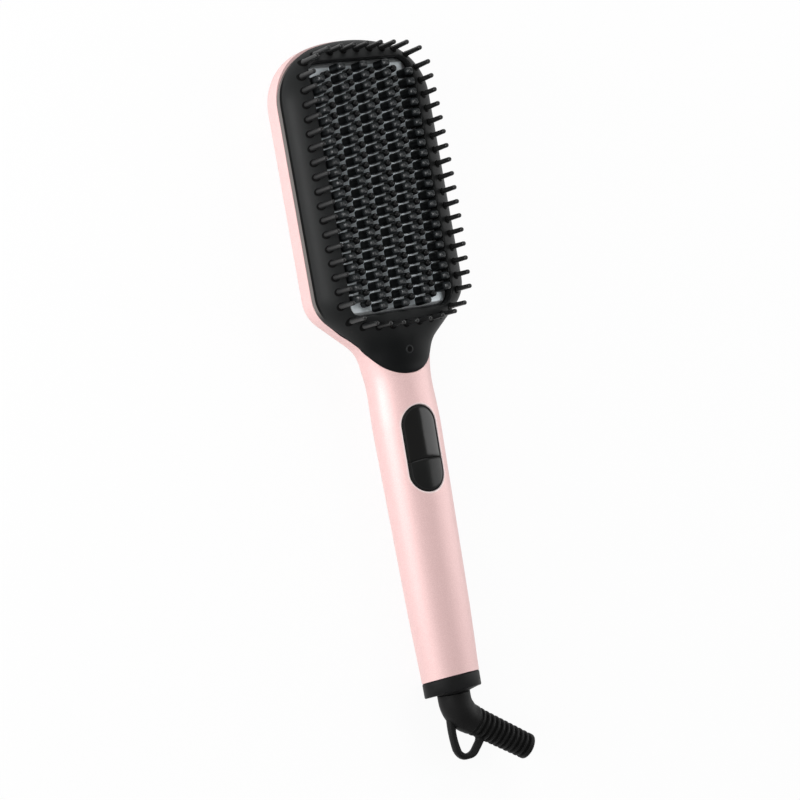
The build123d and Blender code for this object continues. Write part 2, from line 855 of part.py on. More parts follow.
def disc(radius, first_y, last_y):
    """A round bar about the swivel axis between two positions along the handle."""
    with BuildPart(mode=Mode.PRIVATE) as bar:
        with BuildSketch(Plane.XZ.offset(-first_y)):
            with Locations((0, swivel_z)):
                Circle(radius)
        extrude(amount=first_y - last_y)
    return bar.part


def flat_bar(radius, first_y, last_y):
    """A many-sided bar about the swivel axis, where nothing turns on it."""
    with BuildPart(mode=Mode.PRIVATE) as bar:
        with BuildSketch(Plane.XZ.offset(-first_y)):
            with Locations((0, swivel_z)):
                RegularPolygon(radius, boot_sides)
        extrude(amount=first_y - last_y)
    return bar.part


with BuildPart() as spigot:
    add(handle_fit)
    add(slab(handle_end_y + spigot_length, handle_end_y), mode=Mode.INTERSECT)
    add(handle_form(wall + slip + spigot_wall), mode=Mode.SUBTRACT)
with BuildPart() as end_cap:
    for y, draw in ((handle_end_y, 0), (cap_end_y + cap_rim, 0), (cap_end_y, cap_rim)):
        with BuildSketch(Plane.XZ.offset(-y)):
            with BuildLine():
                Polyline(*oval_points(last_half_width - draw, last_half_height - draw, swivel_z), close=True)
            make_face()
    loft(ruled=True)
    with BuildSketch(Plane.XZ.offset(-handle_end_y)):
        with BuildLine():
            Polyline(
                *oval_points(last_half_width - spigot_inset, last_half_height - spigot_inset, swivel_z),
                close=True,
            )
        make_face()
    extrude(amount=cap_length - cap_wall, mode=Mode.SUBTRACT)
    add(spigot.part)
    add(disc(journal_radius + journal_play, handle_end_y, cap_end_y - cap_rim), mode=Mode.SUBTRACT)
end_cap.part.label = "end_cap"
export_step(end_cap.part, "parts/end_cap.step")

# Swivel journal: hard tube that turns in the cap, grooved for its clip
elbow_face_y = cap_end_y - neck_gap
groove_y = cap_wall_y + clip_gap
groove_end_y = groove_y + clip_thickness + slip
with BuildPart() as swivel_journal:
    add(disc(journal_radius, groove_y, elbow_face_y - socket_depth))
    add(flat_bar(clip_seat_radius, groove_end_y, groove_y))
    add(disc(journal_radius, groove_end_y + journal_shoulder, groove_end_y))
    add(flat_bar(ring_seat_radius, journal_end_y, groove_end_y + journal_shoulder))
    add(flat_bar(wire_radius, journal_end_y, elbow_face_y - socket_depth), mode=Mode.SUBTRACT)
swivel_journal.part.label = "swivel_journal"
export_step(swivel_journal.part, "parts/swivel_journal.step")

# Cord boot: bent neck, hanging loop and ribbed sleeve in one soft moulding
sleeve_x = cos(radians(bend_angle))
sleeve_y = -sin(radians(bend_angle))


def sleeve_plane(distance):
    """The plane square to the cord sleeve at a distance from the bend."""
    origin = (distance * sleeve_x, bend_y + distance * sleeve_y, swivel_z)
    return Plane(origin=origin, x_dir=(0, 0, 1), z_dir=(sleeve_x, sleeve_y, 0))


def bend_plane(turn):
    """The plane square to the bend of the neck, after some of its turn."""
    arc_radius = bend_tangent / tan(radians(90 - bend_angle) / 2)
    x = arc_radius * (1 - cos(turn))
    y = bend_y + bend_tangent - arc_radius * sin(turn)
    return Plane(origin=(x, y, swivel_z), x_dir=(0, 0, 1), z_dir=(sin(turn), -cos(turn), 0))


with BuildPart() as cord_boot:
    with BuildSketch(Plane(origin=(0, elbow_face_y, swivel_z), x_dir=(0, 0, 1), z_dir=(0, -1, 0))):
        RegularPolygon(neck_radius_outer, boot_sides)
    for step in range(bend_steps + 1):
        with BuildSketch(bend_plane(radians(90 - bend_angle) * step / bend_steps)):
            RegularPolygon(neck_radius_outer, boot_sides)
    with BuildSketch(sleeve_plane(sleeve_start)):
        RegularPolygon(sleeve_start_radius, boot_sides)
    with BuildSketch(sleeve_plane(sleeve_end)):
        RegularPolygon(sleeve_end_radius, boot_sides)
    loft(ruled=True)
    for rib in range(rib_count):
        with BuildSketch(sleeve_plane(sleeve_start + rib_lead + rib * rib_pitch)):
            RegularPolygon(neck_radius_outer, boot_sides)
            RegularPolygon(rib_core_radius, boot_sides, mode=Mode.SUBTRACT)
        extrude(amount=rib_groove, mode=Mode.SUBTRACT)
    with BuildSketch(Plane.XY.offset(swivel_z - loop_thickness / 2)):
        with BuildLine():
            Polyline(*loop_outer, close=True)
        make_face()
        with BuildLine():
            Polyline(*loop_hole, close=True)
        make_face(mode=Mode.SUBTRACT)
    extrude(amount=loop_thickness)
    add(disc(journal_radius, elbow_face_y, elbow_face_y - socket_depth), mode=Mode.SUBTRACT)
    add(flat_bar(wire_radius, elbow_face_y, bend_y), mode=Mode.SUBTRACT)
    with BuildSketch(sleeve_plane(0)):
        with Locations((-wire_spread, 0), (wire_spread, 0)):
            RegularPolygon(wire_hole_radius, pin_sides)
    extrude(amount=cord_stop, mode=Mode.SUBTRACT)
    with BuildSketch(sleeve_plane(cord_stop)):
        Circle(cord_radius)
    extrude(amount=sleeve_end, mode=Mode.SUBTRACT)
cord_boot.part.label = "cord_boot"
export_step(cord_boot.part, "parts/cord_boot.step")

# Split clip that keeps the journal in the cap
with BuildPart() as swivel_clip:
    add(flat_bar(clip_radius, groove_y + clip_thickness, groove_y))
    add(flat_bar(clip_seat_radius, groove_y + clip_thickness, groove_y), mode=Mode.SUBTRACT)
    with Locations((0, groove_y, swivel_z - clip_radius)):
        Box(clip_mouth, 4 * clip_thickness, 2 * (clip_radius - clip_seat_radius) + clip_thickness, mode=Mode.SUBTRACT)
swivel_clip.part.label = "swivel_clip"
export_step(swivel_clip.part, "parts/swivel_clip.step")

# Two slip rings on the journal, and the leaves that run on them
ring_positions = (journal_end_y - ring_margin, journal_end_y - ring_margin - ring_pitch)
with BuildPart() as slip_rings:
    for y in ring_positions:
        add(flat_bar(ring_radius, y, y - ring_width))
        add(flat_bar(ring_seat_radius, y, y - ring_width), mode=Mode.SUBTRACT)
slip_rings.part.label = "slip_rings"
export_step(slip_rings.part, "parts/slip_rings.step")

block_y = journal_end_y + block_gap
with BuildPart() as contact_block:
    add(handle_fit)
    add(slab(block_y, block_y + block_thickness), mode=Mode.INTERSECT)
contact_block.part.label = "contact_block"
export_step(contact_block.part, "parts/contact_block.step")

with BuildPart() as contact_leaves:
    for side, y in zip((-1, 1), ring_positions):
        leaf_z = swivel_z + side * (ring_radius + leaf_gap + leaf_thickness / 2)
        leaf_end_y = y - ring_width
        with Locations((0, (leaf_end_y + block_y) / 2, leaf_z)):
            Box(leaf_width, block_y - leaf_end_y, leaf_thickness)
contact_leaves.part.label = "contact_leaves"
export_step(contact_leaves.part, "parts/contact_leaves.step")
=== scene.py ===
from math import pi, radians

import bmesh
import bpy
import numpy as np
from mathutils import Matrix, Vector


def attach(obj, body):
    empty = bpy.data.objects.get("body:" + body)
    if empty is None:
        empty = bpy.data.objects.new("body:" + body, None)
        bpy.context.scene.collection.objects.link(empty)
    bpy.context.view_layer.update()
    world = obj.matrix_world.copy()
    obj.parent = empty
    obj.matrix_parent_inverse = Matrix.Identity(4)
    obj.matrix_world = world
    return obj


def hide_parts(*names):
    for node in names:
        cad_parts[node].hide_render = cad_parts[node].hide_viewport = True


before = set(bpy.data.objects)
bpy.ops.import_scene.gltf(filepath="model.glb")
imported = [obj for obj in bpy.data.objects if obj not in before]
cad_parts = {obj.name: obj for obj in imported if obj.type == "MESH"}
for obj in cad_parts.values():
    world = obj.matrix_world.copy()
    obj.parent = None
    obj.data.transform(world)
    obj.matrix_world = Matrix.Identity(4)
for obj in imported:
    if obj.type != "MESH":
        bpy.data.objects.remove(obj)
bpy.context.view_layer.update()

# Camera and studio. A long lens looks down on the brush from its left side. The floor is pale
# paper, and broad soft lamps stand to the left and right, so a darker band stays between them.
camera = bpy.data.objects.new("camera", bpy.data.cameras.new("camera"))
camera.data.lens = 96.4
camera.data.sensor_width = 36.0
camera.data.clip_start = 0.05
camera.data.clip_end = 50.0
camera.matrix_world = Matrix((
    (0.8498, 0.1509, -0.5050, -0.47797),
    (-0.1752, 0.9845, -0.0006, -0.09138),
    (0.4971, 0.0890, 0.8631, 0.82795),
    (0.0, 0.0, 0.0, 1.0),
))
bpy.context.scene.collection.objects.link(camera)
bpy.context.scene.camera = camera
bpy.context.scene.view_settings.view_transform = "Standard"


class Wire:
    """One value in a finish. Arithmetic on it adds Math nodes."""

    def __init__(self, finish, socket):
        self.finish = finish
        self.socket = socket

    def _math(self, operation, *values):
        return self.finish.node("ShaderNodeMath", {"operation": operation}, dict(enumerate(values)))

    def __add__(self, other):
        return self._math("ADD", self, other)

    def __sub__(self, other):
        return self._math("SUBTRACT", self, other)

    def __rsub__(self, other):
        return self._math("SUBTRACT", other, self)

    def __mul__(self, other):
        return self._math("MULTIPLY", self, other)

    __radd__ = __add__
    __rmul__ = __mul__

    def absolute(self):
        return self._math("ABSOLUTE", self)

    def fraction(self):
        return self._math("FRACT", self)

    def largest(self, other):
        return self._math("MAXIMUM", self, other)

    def step(self, low, high):
        """Rises smoothly from 0 at low to 1 at high."""
        settings = {"interpolation_type": "SMOOTHSTEP"}
        return self.finish.node("ShaderNodeMapRange", settings, {0: self, 1: low, 2: high, 3: 0.0, 4: 1.0})


class Finish:
    """A material, with one method that adds any node to it."""

    def __init__(self, name, **values):
        self.material = bpy.data.materials.new(name)
        self.material.use_nodes = True
        self.tree = self.material.node_tree
        self.shader = self.tree.nodes["Principled BSDF"]
        self.place = self.node("ShaderNodeTexCoord", output="Object")
        self.set(**values)

    def node(self, kind, settings=None, inputs=None, output=0):
        made = self.tree.nodes.new(kind)
        for key, value in (settings or {}).items():
            if key == "stops":
                ramp = made.color_ramp
                while len(ramp.elements) < len(value):
                    ramp.elements.new(0.5)
                for element, (position, colour) in zip(ramp.elements, value):
                    element.position = position
                    element.color = (*colour, 1.0)
            else:
                setattr(made, key, value)
        for key, value in (inputs or {}).items():
            self.join(made.inputs[key], value)
        return Wire(self, made.outputs[output])

    def join(self, socket, value):
        if isinstance(value, Wire):
            self.tree.links.new(value.socket, socket)
        elif isinstance(value, tuple) and len(value) == 3 and socket.type == "RGBA":
            socket.default_value = (*value, 1.0)
        else:
            socket.default_value = value

    def set(self, **values):
        for key, value in values.items():
            self.join(self.shader.inputs[key.replace("_", " ").title().replace("Ior", "IOR")], value)

    def noise(self, scale, detail=3.0, roughness=0.55, stretch=(1.0, 1.0, 1.0)):
        """Even noise at some scale per metre, stretched along the axes."""
        place = self.place
        if stretch != (1.0, 1.0, 1.0):
            place = self.node("ShaderNodeVectorMath", {"operation": "MULTIPLY"}, {0: place, 1: stretch})
        values = {"Vector": place, "Scale": scale, "Detail": detail, "Roughness": roughness}
        return self.node("ShaderNodeTexNoise", {}, values)

    def axis(self, name):
        return self.node("ShaderNodeSeparateXYZ", {}, {0: self.place}, output=name)

    def blend(self, amount, first, second):
        return self.node("ShaderNodeMix", {"data_type": "RGBA"}, {0: amount, 6: first, 7: second}, output=2)

    def bump(self, height, strength, depth):
        values = {"Height": height, "Strength": strength, "Distance": depth}
        return self.node("ShaderNodeBump", {}, values)


floor_size, paper_z = 6.0, -0.0006
floor_corners = [(-floor_size, -floor_size, paper_z), (floor_size, -floor_size, paper_z),
                 (floor_size, floor_size, paper_z), (-floor_size, floor_size, paper_z)]
floor_mesh = bpy.data.meshes.new("floor")
floor_mesh.from_pydata(floor_corners, [], [(0, 1, 2, 3)])
floor = bpy.data.objects.new("floor", floor_mesh)
bpy.context.scene.collection.objects.link(floor)
paper = Finish("pale_paper", base_color=(0.95, 0.95, 0.95), roughness=0.9)
seen = paper.node("ShaderNodeLightPath", output="Is Camera Ray")
glossy = paper.node("ShaderNodeLightPath", output="Is Glossy Ray")
through = paper.node("ShaderNodeLightPath", output="Is Transmission Ray")
white = paper.node("ShaderNodeEmission", {}, {"Color": (1.0, 1.0, 1.0), "Strength": 1.0})
white_share = 0.93
mixed = paper.node("ShaderNodeMixShader", {}, {
    0: seen.largest(glossy).largest(through) * white_share,
    1: Wire(paper, paper.shader.outputs[0]),
    2: white,
})
paper.tree.links.new(mixed.socket, paper.tree.nodes["Material Output"].inputs["Surface"])
floor_mesh.materials.append(paper.material)

world = bpy.data.worlds.new("studio")
world.use_nodes = True
sky = world.node_tree.nodes["Background"]
sky.inputs["Color"].default_value = (1.0, 1.0, 1.0, 1.0)
sky_light = 0.34
ray = world.node_tree.nodes.new("ShaderNodeLightPath")
sky_strength = world.node_tree.nodes.new("ShaderNodeMapRange")
sky_strength.inputs["To Min"].default_value = sky_light
world.node_tree.links.new(ray.outputs["Is Camera Ray"], sky_strength.inputs["Value"])
world.node_tree.links.new(sky_strength.outputs["Result"], sky.inputs["Strength"])
bpy.context.scene.world = world


def lamp(name, place, aim, width, height, watts):
    """A soft rectangular lamp that stands at a place and points at another."""
    light = bpy.data.lights.new(name, "AREA")
    light.shape = "RECTANGLE"
    light.size = width
    light.size_y = height
    light.energy = watts
    made = bpy.data.objects.new(name, light)
    away = Vector(place) - Vector(aim)
    made.matrix_world = Matrix.Translation(place) @ away.to_track_quat("Z", "Y").to_matrix().to_4x4()
    bpy.context.scene.collection.objects.link(made)


lamp("left_softbox", (-1.25, -0.1, 0.62), (0.0, -0.08, 0.02), 1.2, 1.8, 8.4)
lamp("low_left_softbox", (-1.1, 0.0, 0.12), (0.0, -0.05, 0.012), 0.25, 1.5, 5.5)
lamp("head_side_lamp", (-0.6, 0.12, 0.05), (0.0, 0.03, 0.012), 0.12, 0.3, 1.7)
lamp("right_softbox", (1.2, -0.1, 0.50), (0.0, -0.08, 0.02), 0.6, 1.7, 8.2)
lamp("head_softbox", (0.25, 1.2, 0.9), (0.0, 0.0, 0.02), 1.2, 0.6, 8.0)


# Rear shell. One pink moulding is the tray behind the head and the tube of the handle.
# It is ABS, injection moulded and sprayed with a satin pearl lacquer.
# Each corner of an outline is given as x, y and the radius of its rounding, in millimetres.
MM = 0.001
outline_step = 1.3
end_y, end_centre_z, end_half_x, end_half_z = -215.0, 12.2, 13.5, 11.2
head_path = [(0.0, 69.3, 0.0), (9.31, 69.3, 71.0), (37.6, 61.75, 26.0), (37.6, -48.5, 16.0)]
handle_path = [(16.9, -67.8, 12.0), (15.3, -84.0, 50.0), (15.95, -102.0, 60.0), (14.6, -186.0, 90.0),
               (end_half_x, end_y, 0.0)]
cover_path = [(19.25, -65.6, 12.0), (9.8, -79.8, 17.0), (0.0, -79.8, 0.0)]


def spread(points, spacing=1.0, count=None):
    """Points at an even spacing along a line of points, or a given number of them."""
    lengths = np.concatenate([[0], np.cumsum(np.linalg.norm(np.diff(points, axis=0), axis=1))])
    samples = np.linspace(0, lengths[-1], count or int(lengths[-1] / spacing) + 1)
    return np.stack([np.interp(samples, lengths, points[:, axis]) for axis in (0, 1)], 1)


def rounded_path(corners, spacing):
    """Straight runs between corners, each rounded by an arc of its radius, spread evenly.

    The arc of radius r touches both runs at r / tan(half the angle) from the corner.
    """
    ends = np.array([corner[:2] for corner in corners])
    points = [ends[0]]
    for index in range(1, len(corners) - 1):
        before = ends[index - 1] - ends[index]
        after = ends[index + 1] - ends[index]
        before = before / np.linalg.norm(before)
        after = after / np.linalg.norm(after)
        half = np.arccos(np.clip(before @ after, -1, 1)) / 2
        radius = corners[index][2]
        reach = radius / np.tan(half)
        bisector = (before + after) / np.linalg.norm(before + after)
        centre = ends[index] + bisector * radius / np.sin(half)
        start = ends[index] + before * reach - centre
        stop = ends[index] + after * reach - centre
        first = np.arctan2(start[1], start[0])
        turn = (np.arctan2(stop[1], stop[0]) - first + pi) % (2 * pi) - pi
        angles = first + turn * np.linspace(0, 1, 25)
        points.extend(centre + radius * np.stack([np.cos(angles), np.sin(angles)], 1))
    points.append(ends[-1])
    return spread(np.array(points), spacing)


outline = rounded_path(head_path + handle_path, outline_step)
cover_outline = rounded_path(head_path + cover_path, outline_step)


def inset(x, y):
    """Distance from points to the outline of the whole body, least over its straight pieces."""
    first = outline[:-1]
    along = outline[1:] - first
    dx = np.abs(x)[..., None] - first[:, 0]
    dy = y[..., None] - first[:, 1]
    share = np.clip((dx * along[:, 0] + dy * along[:, 1]) / (along**2).sum(1), 0, 1)
    distance = np.hypot(dx - share * along[:, 0], dy - share * along[:, 1])
    return distance.min(-1)


waist_top_y = -40


def half_width(y):
    """Half width of the outline at a position, below the head."""
    lower = outline[outline[:, 1] < waist_top_y][::-1]
    return np.interp(y, lower[:, 1], lower[:, 0])


def ease(value, low, high):
    """Rises smoothly from 0 at low to 1 at high."""
    share = np.clip((value - low) / (high - low), 0, 1)
    return share * share * (3 - 2 * share)


# the cover draws in a little at the waist, so that its edge climbs on to the tongue
waist_draw = 0.45
cover_outline[:, 0] -= waist_draw * ease(-cover_outline[:, 1], 54, 66) * ease(cover_outline[:, 0], 0, 6)


def handle_form(y):
    """Centre height and half height of the handle's oval at a position."""
    stations = [end_y, -100, -90, -76, -66, -58]
    centre = np.interp(y, stations, [end_centre_z, 12.84, 12.6, 12.3, 12.6, 13.2])
    half = np.interp(y, stations, [end_half_z, 12.75, 12.52, 12.2, 12.5, 13.1])
    return centre, half


crown_radius, parting_z, back_radius = 13.4, 15.6, 9.0


def crown(x, y, distance=None):
    """Height of the front surface: low + rise * sqrt(1 - draw^2), a quarter oval up from the edge.

    The draw falls from 1 at the edge to 0 at one radius in; the head's radius goes over into the handle's.
    """
    if distance is None:
        distance = inset(x, y)
    share = ease(-y, 52, 82)
    centre, half = handle_form(y)
    radius = crown_radius * (1 - share) + half_width(y) * share
    low = parting_z * (1 - share) + centre * share
    rise = crown_radius * (1 - share) + half * share
    draw = 1 - np.clip(distance / radius, 0, 1)
    return low + rise * np.sqrt(np.clip(1 - draw**2, 0, 1))


def back(x, y):
    """Height of the rear surface: top - drop * sqrt(1 - draw^2), a quarter oval down from the edge."""
    share = ease(-y, 50, 84)
    centre, half = handle_form(y)
    radius = back_radius * (1 - share) + half_width(y) * share
    top = back_radius * (1 - share) + centre * share
    drop = back_radius * (1 - share) + half * share
    draw = 1 - np.clip(inset(x, y) / radius, 0, 1)
    return top - drop * np.sqrt(np.clip(1 - draw**2, 0, 1))


def patch(points, facing, wrap=False):
    """Quads over a grid of points, or over many like grids, turned so that they face along a direction."""
    points = np.asarray(points, float)
    if points.ndim == 3:
        points = points[None]
    copies, rows, columns = points.shape[:3]
    index = np.arange(copies * rows * columns).reshape(copies, rows, columns)
    if wrap:
        index = np.concatenate([index, index[:, :1]], 1)
    quads = np.stack([index[:, :-1, :-1], index[:, 1:, :-1], index[:, 1:, 1:], index[:, :-1, 1:]], -1)
    quads = quads.reshape(-1, 4)
    flat = points.reshape(-1, 3)
    across = np.cross(flat[quads[:, 2]] - flat[quads[:, 0]], flat[quads[:, 3]] - flat[quads[:, 1]])
    towards = np.broadcast_to(facing, points.shape).reshape(-1, 3)[quads].mean(1)
    if (across * towards).sum() < 0:
        quads = quads[:, ::-1]
    return flat, quads


def mirrored(points):
    """The same grid on the other side of the middle."""
    return np.asarray(points) * (-1, 1, 1)


merge_distance, sliver_distance, crease_angle = 2e-6, 1e-6, radians(40)


def make_piece(name, patches, finish, body="body", stands_for=()):
    """Joins patches into one smooth object that stands at the origin, and fixes it to its body."""
    points, quads, count = [], [], 0
    for flat, faces in patches:
        points.append(flat)
        quads.append(faces + count)
        count += len(flat)
    mesh = bpy.data.meshes.new(name)
    mesh.from_pydata((np.concatenate(points) * MM).tolist(), [], np.concatenate(quads).tolist())
    shape = bmesh.new()
    shape.from_mesh(mesh)
    bmesh.ops.remove_doubles(shape, verts=shape.verts, dist=merge_distance)
    bmesh.ops.dissolve_degenerate(shape, edges=shape.edges, dist=sliver_distance)
    shape.to_mesh(mesh)
    shape.free()
    mesh.shade_smooth()
    mesh.set_sharp_from_angle(angle=crease_angle)
    mesh.materials.append(finish.material)
    piece = bpy.data.objects.new(name, mesh)
    bpy.context.scene.collection.objects.link(piece)
    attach(piece, body)
    if stands_for:
        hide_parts(*stands_for)


def angles_round(count):
    """Angles at even steps round a full turn."""
    return np.linspace(0, 2 * pi, count, endpoint=False)


def spaced(first, last, count):
    """Positions between two ends, closer together near both of them."""
    share = (1 - np.cos(np.linspace(0, pi, count))) / 2
    return first + (last - first) * share


pill_y, pill_half_length, pill_half_width = -113.25, 19.25, 8.75
split_y, split_bow = -118.6, 0.9
rim_width = 0.55


def pill_edge(y, grow):
    """Half width of the control pill at a position, grown outwards by some amount."""
    radius = pill_half_width + grow
    past = np.clip(np.abs(y - pill_y) - (pill_half_length - pill_half_width), 0, None)
    return np.sqrt(np.clip(radius**2 - past**2, 0, None))


# back of the shell: from the outline round to the middle; the rows of the tip meet at one point
tip_meeting_y = 30
goal_y = np.minimum(outline[:, 1], tip_meeting_y)
draw = 1 - np.cos(np.linspace(0, pi / 2, 34))
flat_x = outline[:, 0, None] - outline[:, 0, None] * draw
flat_y = outline[:, 1, None] + (goal_y - outline[:, 1])[:, None] * draw
rear = np.stack([flat_x, flat_y, back(flat_x, flat_y)], -1)

# side wall and the top beside the cover: from the outline to the edge of the cover
seam_gap = 0.14
head_low_y, neck_high_y = -48.0, -48.3
forward = np.gradient(cover_outline, axis=0)
forward = forward / np.linalg.norm(forward, axis=1, keepdims=True)
outward = np.stack([-forward[:, 1], forward[:, 0]], 1)
seam = cover_outline + outward * seam_gap
seam[-1, 0] = 0
head_rows = outline[outline[:, 1] >= head_low_y]
neck_rows = seam[seam[:, 1] < neck_high_y]
neck_y = neck_rows[:, 1]
neck_outer = half_width(neck_y)
neck_inner = np.minimum(neck_rows[:, 0], neck_outer)
outer_x = np.concatenate([head_rows[:, 0], neck_outer])
outer_y = np.concatenate([head_rows[:, 1], neck_y])
inner_x = np.concatenate([head_rows[:, 0], neck_inner])
top_share = 1 - np.cos(np.linspace(0, pi / 2, 16))
top_x = outer_x[:, None] + (inner_x - outer_x)[:, None] * top_share
top_y = outer_y[:, None] + 0 * top_share
top_distance = np.where(outer_x[:, None] - top_x < 1e-9, 0, inset(top_x, top_y))
wall_share = np.linspace(0, 1, 5)[:-1]
wall_low = back(outer_x, outer_y)
wall_high = crown(outer_x, outer_y, 0 * outer_x)
wall_z = wall_low[:, None] + (wall_high - wall_low)[:, None] * wall_share
wall_x = outer_x[:, None] + 0 * wall_share
wall_y = outer_y[:, None] + 0 * wall_share
side = np.concatenate([
    np.stack([wall_x, wall_y, wall_z], -1),
    np.stack([top_x, top_y, crown(top_x, top_y, top_distance)], -1),
], 1)

# top of the handle, with the opening for the control pill
opening_first = pill_y + pill_half_length + rim_width
opening_last = pill_y - pill_half_length - rim_width
handle_y = np.concatenate([
    np.linspace(neck_y[-1], opening_first, 14),
    spaced(opening_first, opening_last, 60)[1:],
    np.linspace(opening_last, end_y, 40)[1:],
])
wide = half_width(handle_y)
edge_turn = np.arcsin(np.clip(pill_edge(handle_y, rim_width) / wide, 0, 1))
side_turns = pi / 2 + (edge_turn - pi / 2)[:, None] * np.linspace(0, 1, 30)
handle_centre, handle_half = handle_form(handle_y)
handle_top = np.stack([
    wide[:, None] * np.sin(side_turns),
    handle_y[:, None] + 0 * side_turns,
    handle_centre[:, None] + handle_half[:, None] * np.cos(side_turns),
], -1)
end_lean = 1.9


def slanted(points):
    """The grid with the handle's end leant over: the front a little shorter, the back a little longer."""
    points = np.array(points)
    lean_share = ease(-points[..., 1], 196, 214)
    points[..., 1] += end_lean * lean_share * (points[..., 2] - end_centre_z) / end_half_z
    return points


rear = slanted(rear)
handle_top = slanted(handle_top)


def pill_loop(grow, first_y=None, last_y=None):
    """Closed outline of the control pill, grown outwards, or of the part of it between two positions."""
    turns = angles_round(120)
    radius = pill_half_width + grow
    straight = pill_half_length - pill_half_width
    x = radius * np.cos(turns)
    y = radius * np.sin(turns) + np.where(np.sin(turns) >= 0, straight, -straight) + pill_y
    if first_y is not None:
        y = np.clip(y, last_y, first_y)
        x = np.sign(x) * np.minimum(np.abs(x), pill_edge(y, grow))
        near_split = np.abs(y - split_y) < 1.5
        y = y + np.where(near_split, split_bow * (1 - (x / radius) ** 2), 0)
    return np.stack([x, y], 1)


def on_handle(x, y, lift=0.0):
    """Height of the handle's front at some points, lifted by some amount."""
    centre, half = handle_form(y)
    return centre + half * np.sqrt(np.clip(1 - (x / half_width(y)) ** 2, 0, 1)) + lift


def laid(loop, lift):
    """A flat outline laid on the handle's front, lifted by some amount."""
    return np.column_stack([loop, on_handle(loop[:, 0], loop[:, 1], lift)])


# rim of the pill's opening, edge of the cut-out for the tongue, and the lip under the cover
rim_rows = []
for grow, lift in ((0.62, -0.01), (0.3, -0.04), (0.08, -0.22), (0.0, -0.5), (0.0, -2.2)):
    rim_rows.append(laid(pill_loop(grow), lift))
pill_rim = np.stack(rim_rows, 1)
tongue_x = np.concatenate([neck_inner, -neck_inner[::-1]])
tongue_y = np.concatenate([neck_y, neck_y[::-1]])
tongue_z = crown(tongue_x, tongue_y)
tongue_rim = np.stack([
    np.stack([tongue_x, tongue_y, tongue_z + 0.005], -1),
    np.stack([tongue_x * 0.996, tongue_y + 0.04, tongue_z - 0.12], -1),
    np.stack([tongue_x * 0.996, tongue_y + 0.04, tongue_z - 1.2], -1),
], 1)
lip_centre_y = 3.0
lip_x = np.concatenate([head_rows[:, 0], -head_rows[::-1, 0]])
lip_y = np.concatenate([head_rows[:, 1], head_rows[::-1, 1]])
lip_rows = []
for draw_x, draw_y in ((0.0, 0.0), (0.01, 0.006), (0.03, 0.018)):
    drawn_y = lip_centre_y + (lip_y - lip_centre_y) * (1 - draw_y)
    lip_rows.append(np.stack([lip_x * (1 - draw_x), drawn_y, parting_z + 0 * lip_x], -1))
lip = np.stack(lip_rows, 1)


def pill_reach(finish):
    """Square of the distance, in metres, from the line along the middle of the control pill."""
    straight = (pill_half_length - pill_half_width) * MM
    past = ((finish.axis("Y") - pill_y * MM).absolute() - straight).largest(0.0)
    across = finish.axis("X")
    return past * past + across * across


halo_inner, halo_outer = (pill_half_width + 0.1) * MM, (pill_half_width + 1.1) * MM
pink = Finish("pearl_pink_lacquer", metallic=0.24, coat_weight=0.06, coat_roughness=0.35)
flake = pink.noise(2600, 2.0, 0.6)
cloud = pink.noise(28, 3.0, 0.5, (1.0, 0.35, 1.0))
rub = pink.noise(90, 4.0, 0.6, (1.0, 0.3, 1.0)).step(0.58, 0.75)
lacquer = pink.blend(flake.step(0.35, 0.7), (0.78, 0.520, 0.508), (0.88, 0.622, 0.608))
lacquer = pink.blend(cloud * 0.3, lacquer, (0.82, 0.545, 0.532))
# painted highlight: the pink turns pale in a narrow band round the edge of the control pill
painted_pill_halo = 1 - pill_reach(pink).step(halo_inner**2, halo_outer**2)
lacquer = pink.blend(painted_pill_halo * 0.7, lacquer, (0.93, 0.85, 0.84))
pink.set(base_color=lacquer, roughness=0.41 + 0.08 * flake + 0.05 * rub)
pink.set(normal=pink.bump(flake + 0.5 * pink.noise(600, 2.0), 0.06, 0.0002))
make_piece("shell_moulding", [
    patch(rear, (0, 0, -1)),
    patch(mirrored(rear), (0, 0, -1)),
    patch(side, (1, 0, 0.3)),
    patch(mirrored(side), (-1, 0, 0.3)),
    patch(handle_top, (0, 0, 1)),
    patch(mirrored(handle_top), (0, 0, 1)),
    patch(pill_rim, (0, 0, 1), wrap=True),
    patch(tongue_rim, (0, 0, 1)),
    patch(lip, (0, 0, 1)),
], pink, stands_for=("body_shell",))


# Front cover. A crowned black ring round the hot plate runs down into a tongue on the handle.
# It is heat resisting nylon with a fine matt spark texture; tabs and one screw hold it.
opening_half_x, opening_half_y, opening_y, opening_radius = 25.75, 55.6, 3.0, 6.0


def opening_near(x, y):
    """The nearest point of the plate opening's rounded rectangle, and the direction out from it."""
    inner_x = np.clip(x, 0, opening_half_x - opening_radius)
    inner_y = np.clip(y - opening_y, opening_radius - opening_half_y, opening_half_y - opening_radius)
    away = np.stack([x - inner_x, y - opening_y - inner_y], -1)
    away = away / np.linalg.norm(away, axis=-1, keepdims=True)
    near = np.stack([inner_x, inner_y + opening_y], -1) + opening_radius * away
    return near, away


def tongue_lift(y):
    """How far the tongue stands above the handle at a position."""
    return 0.55 * ease(-y, 60, 72)


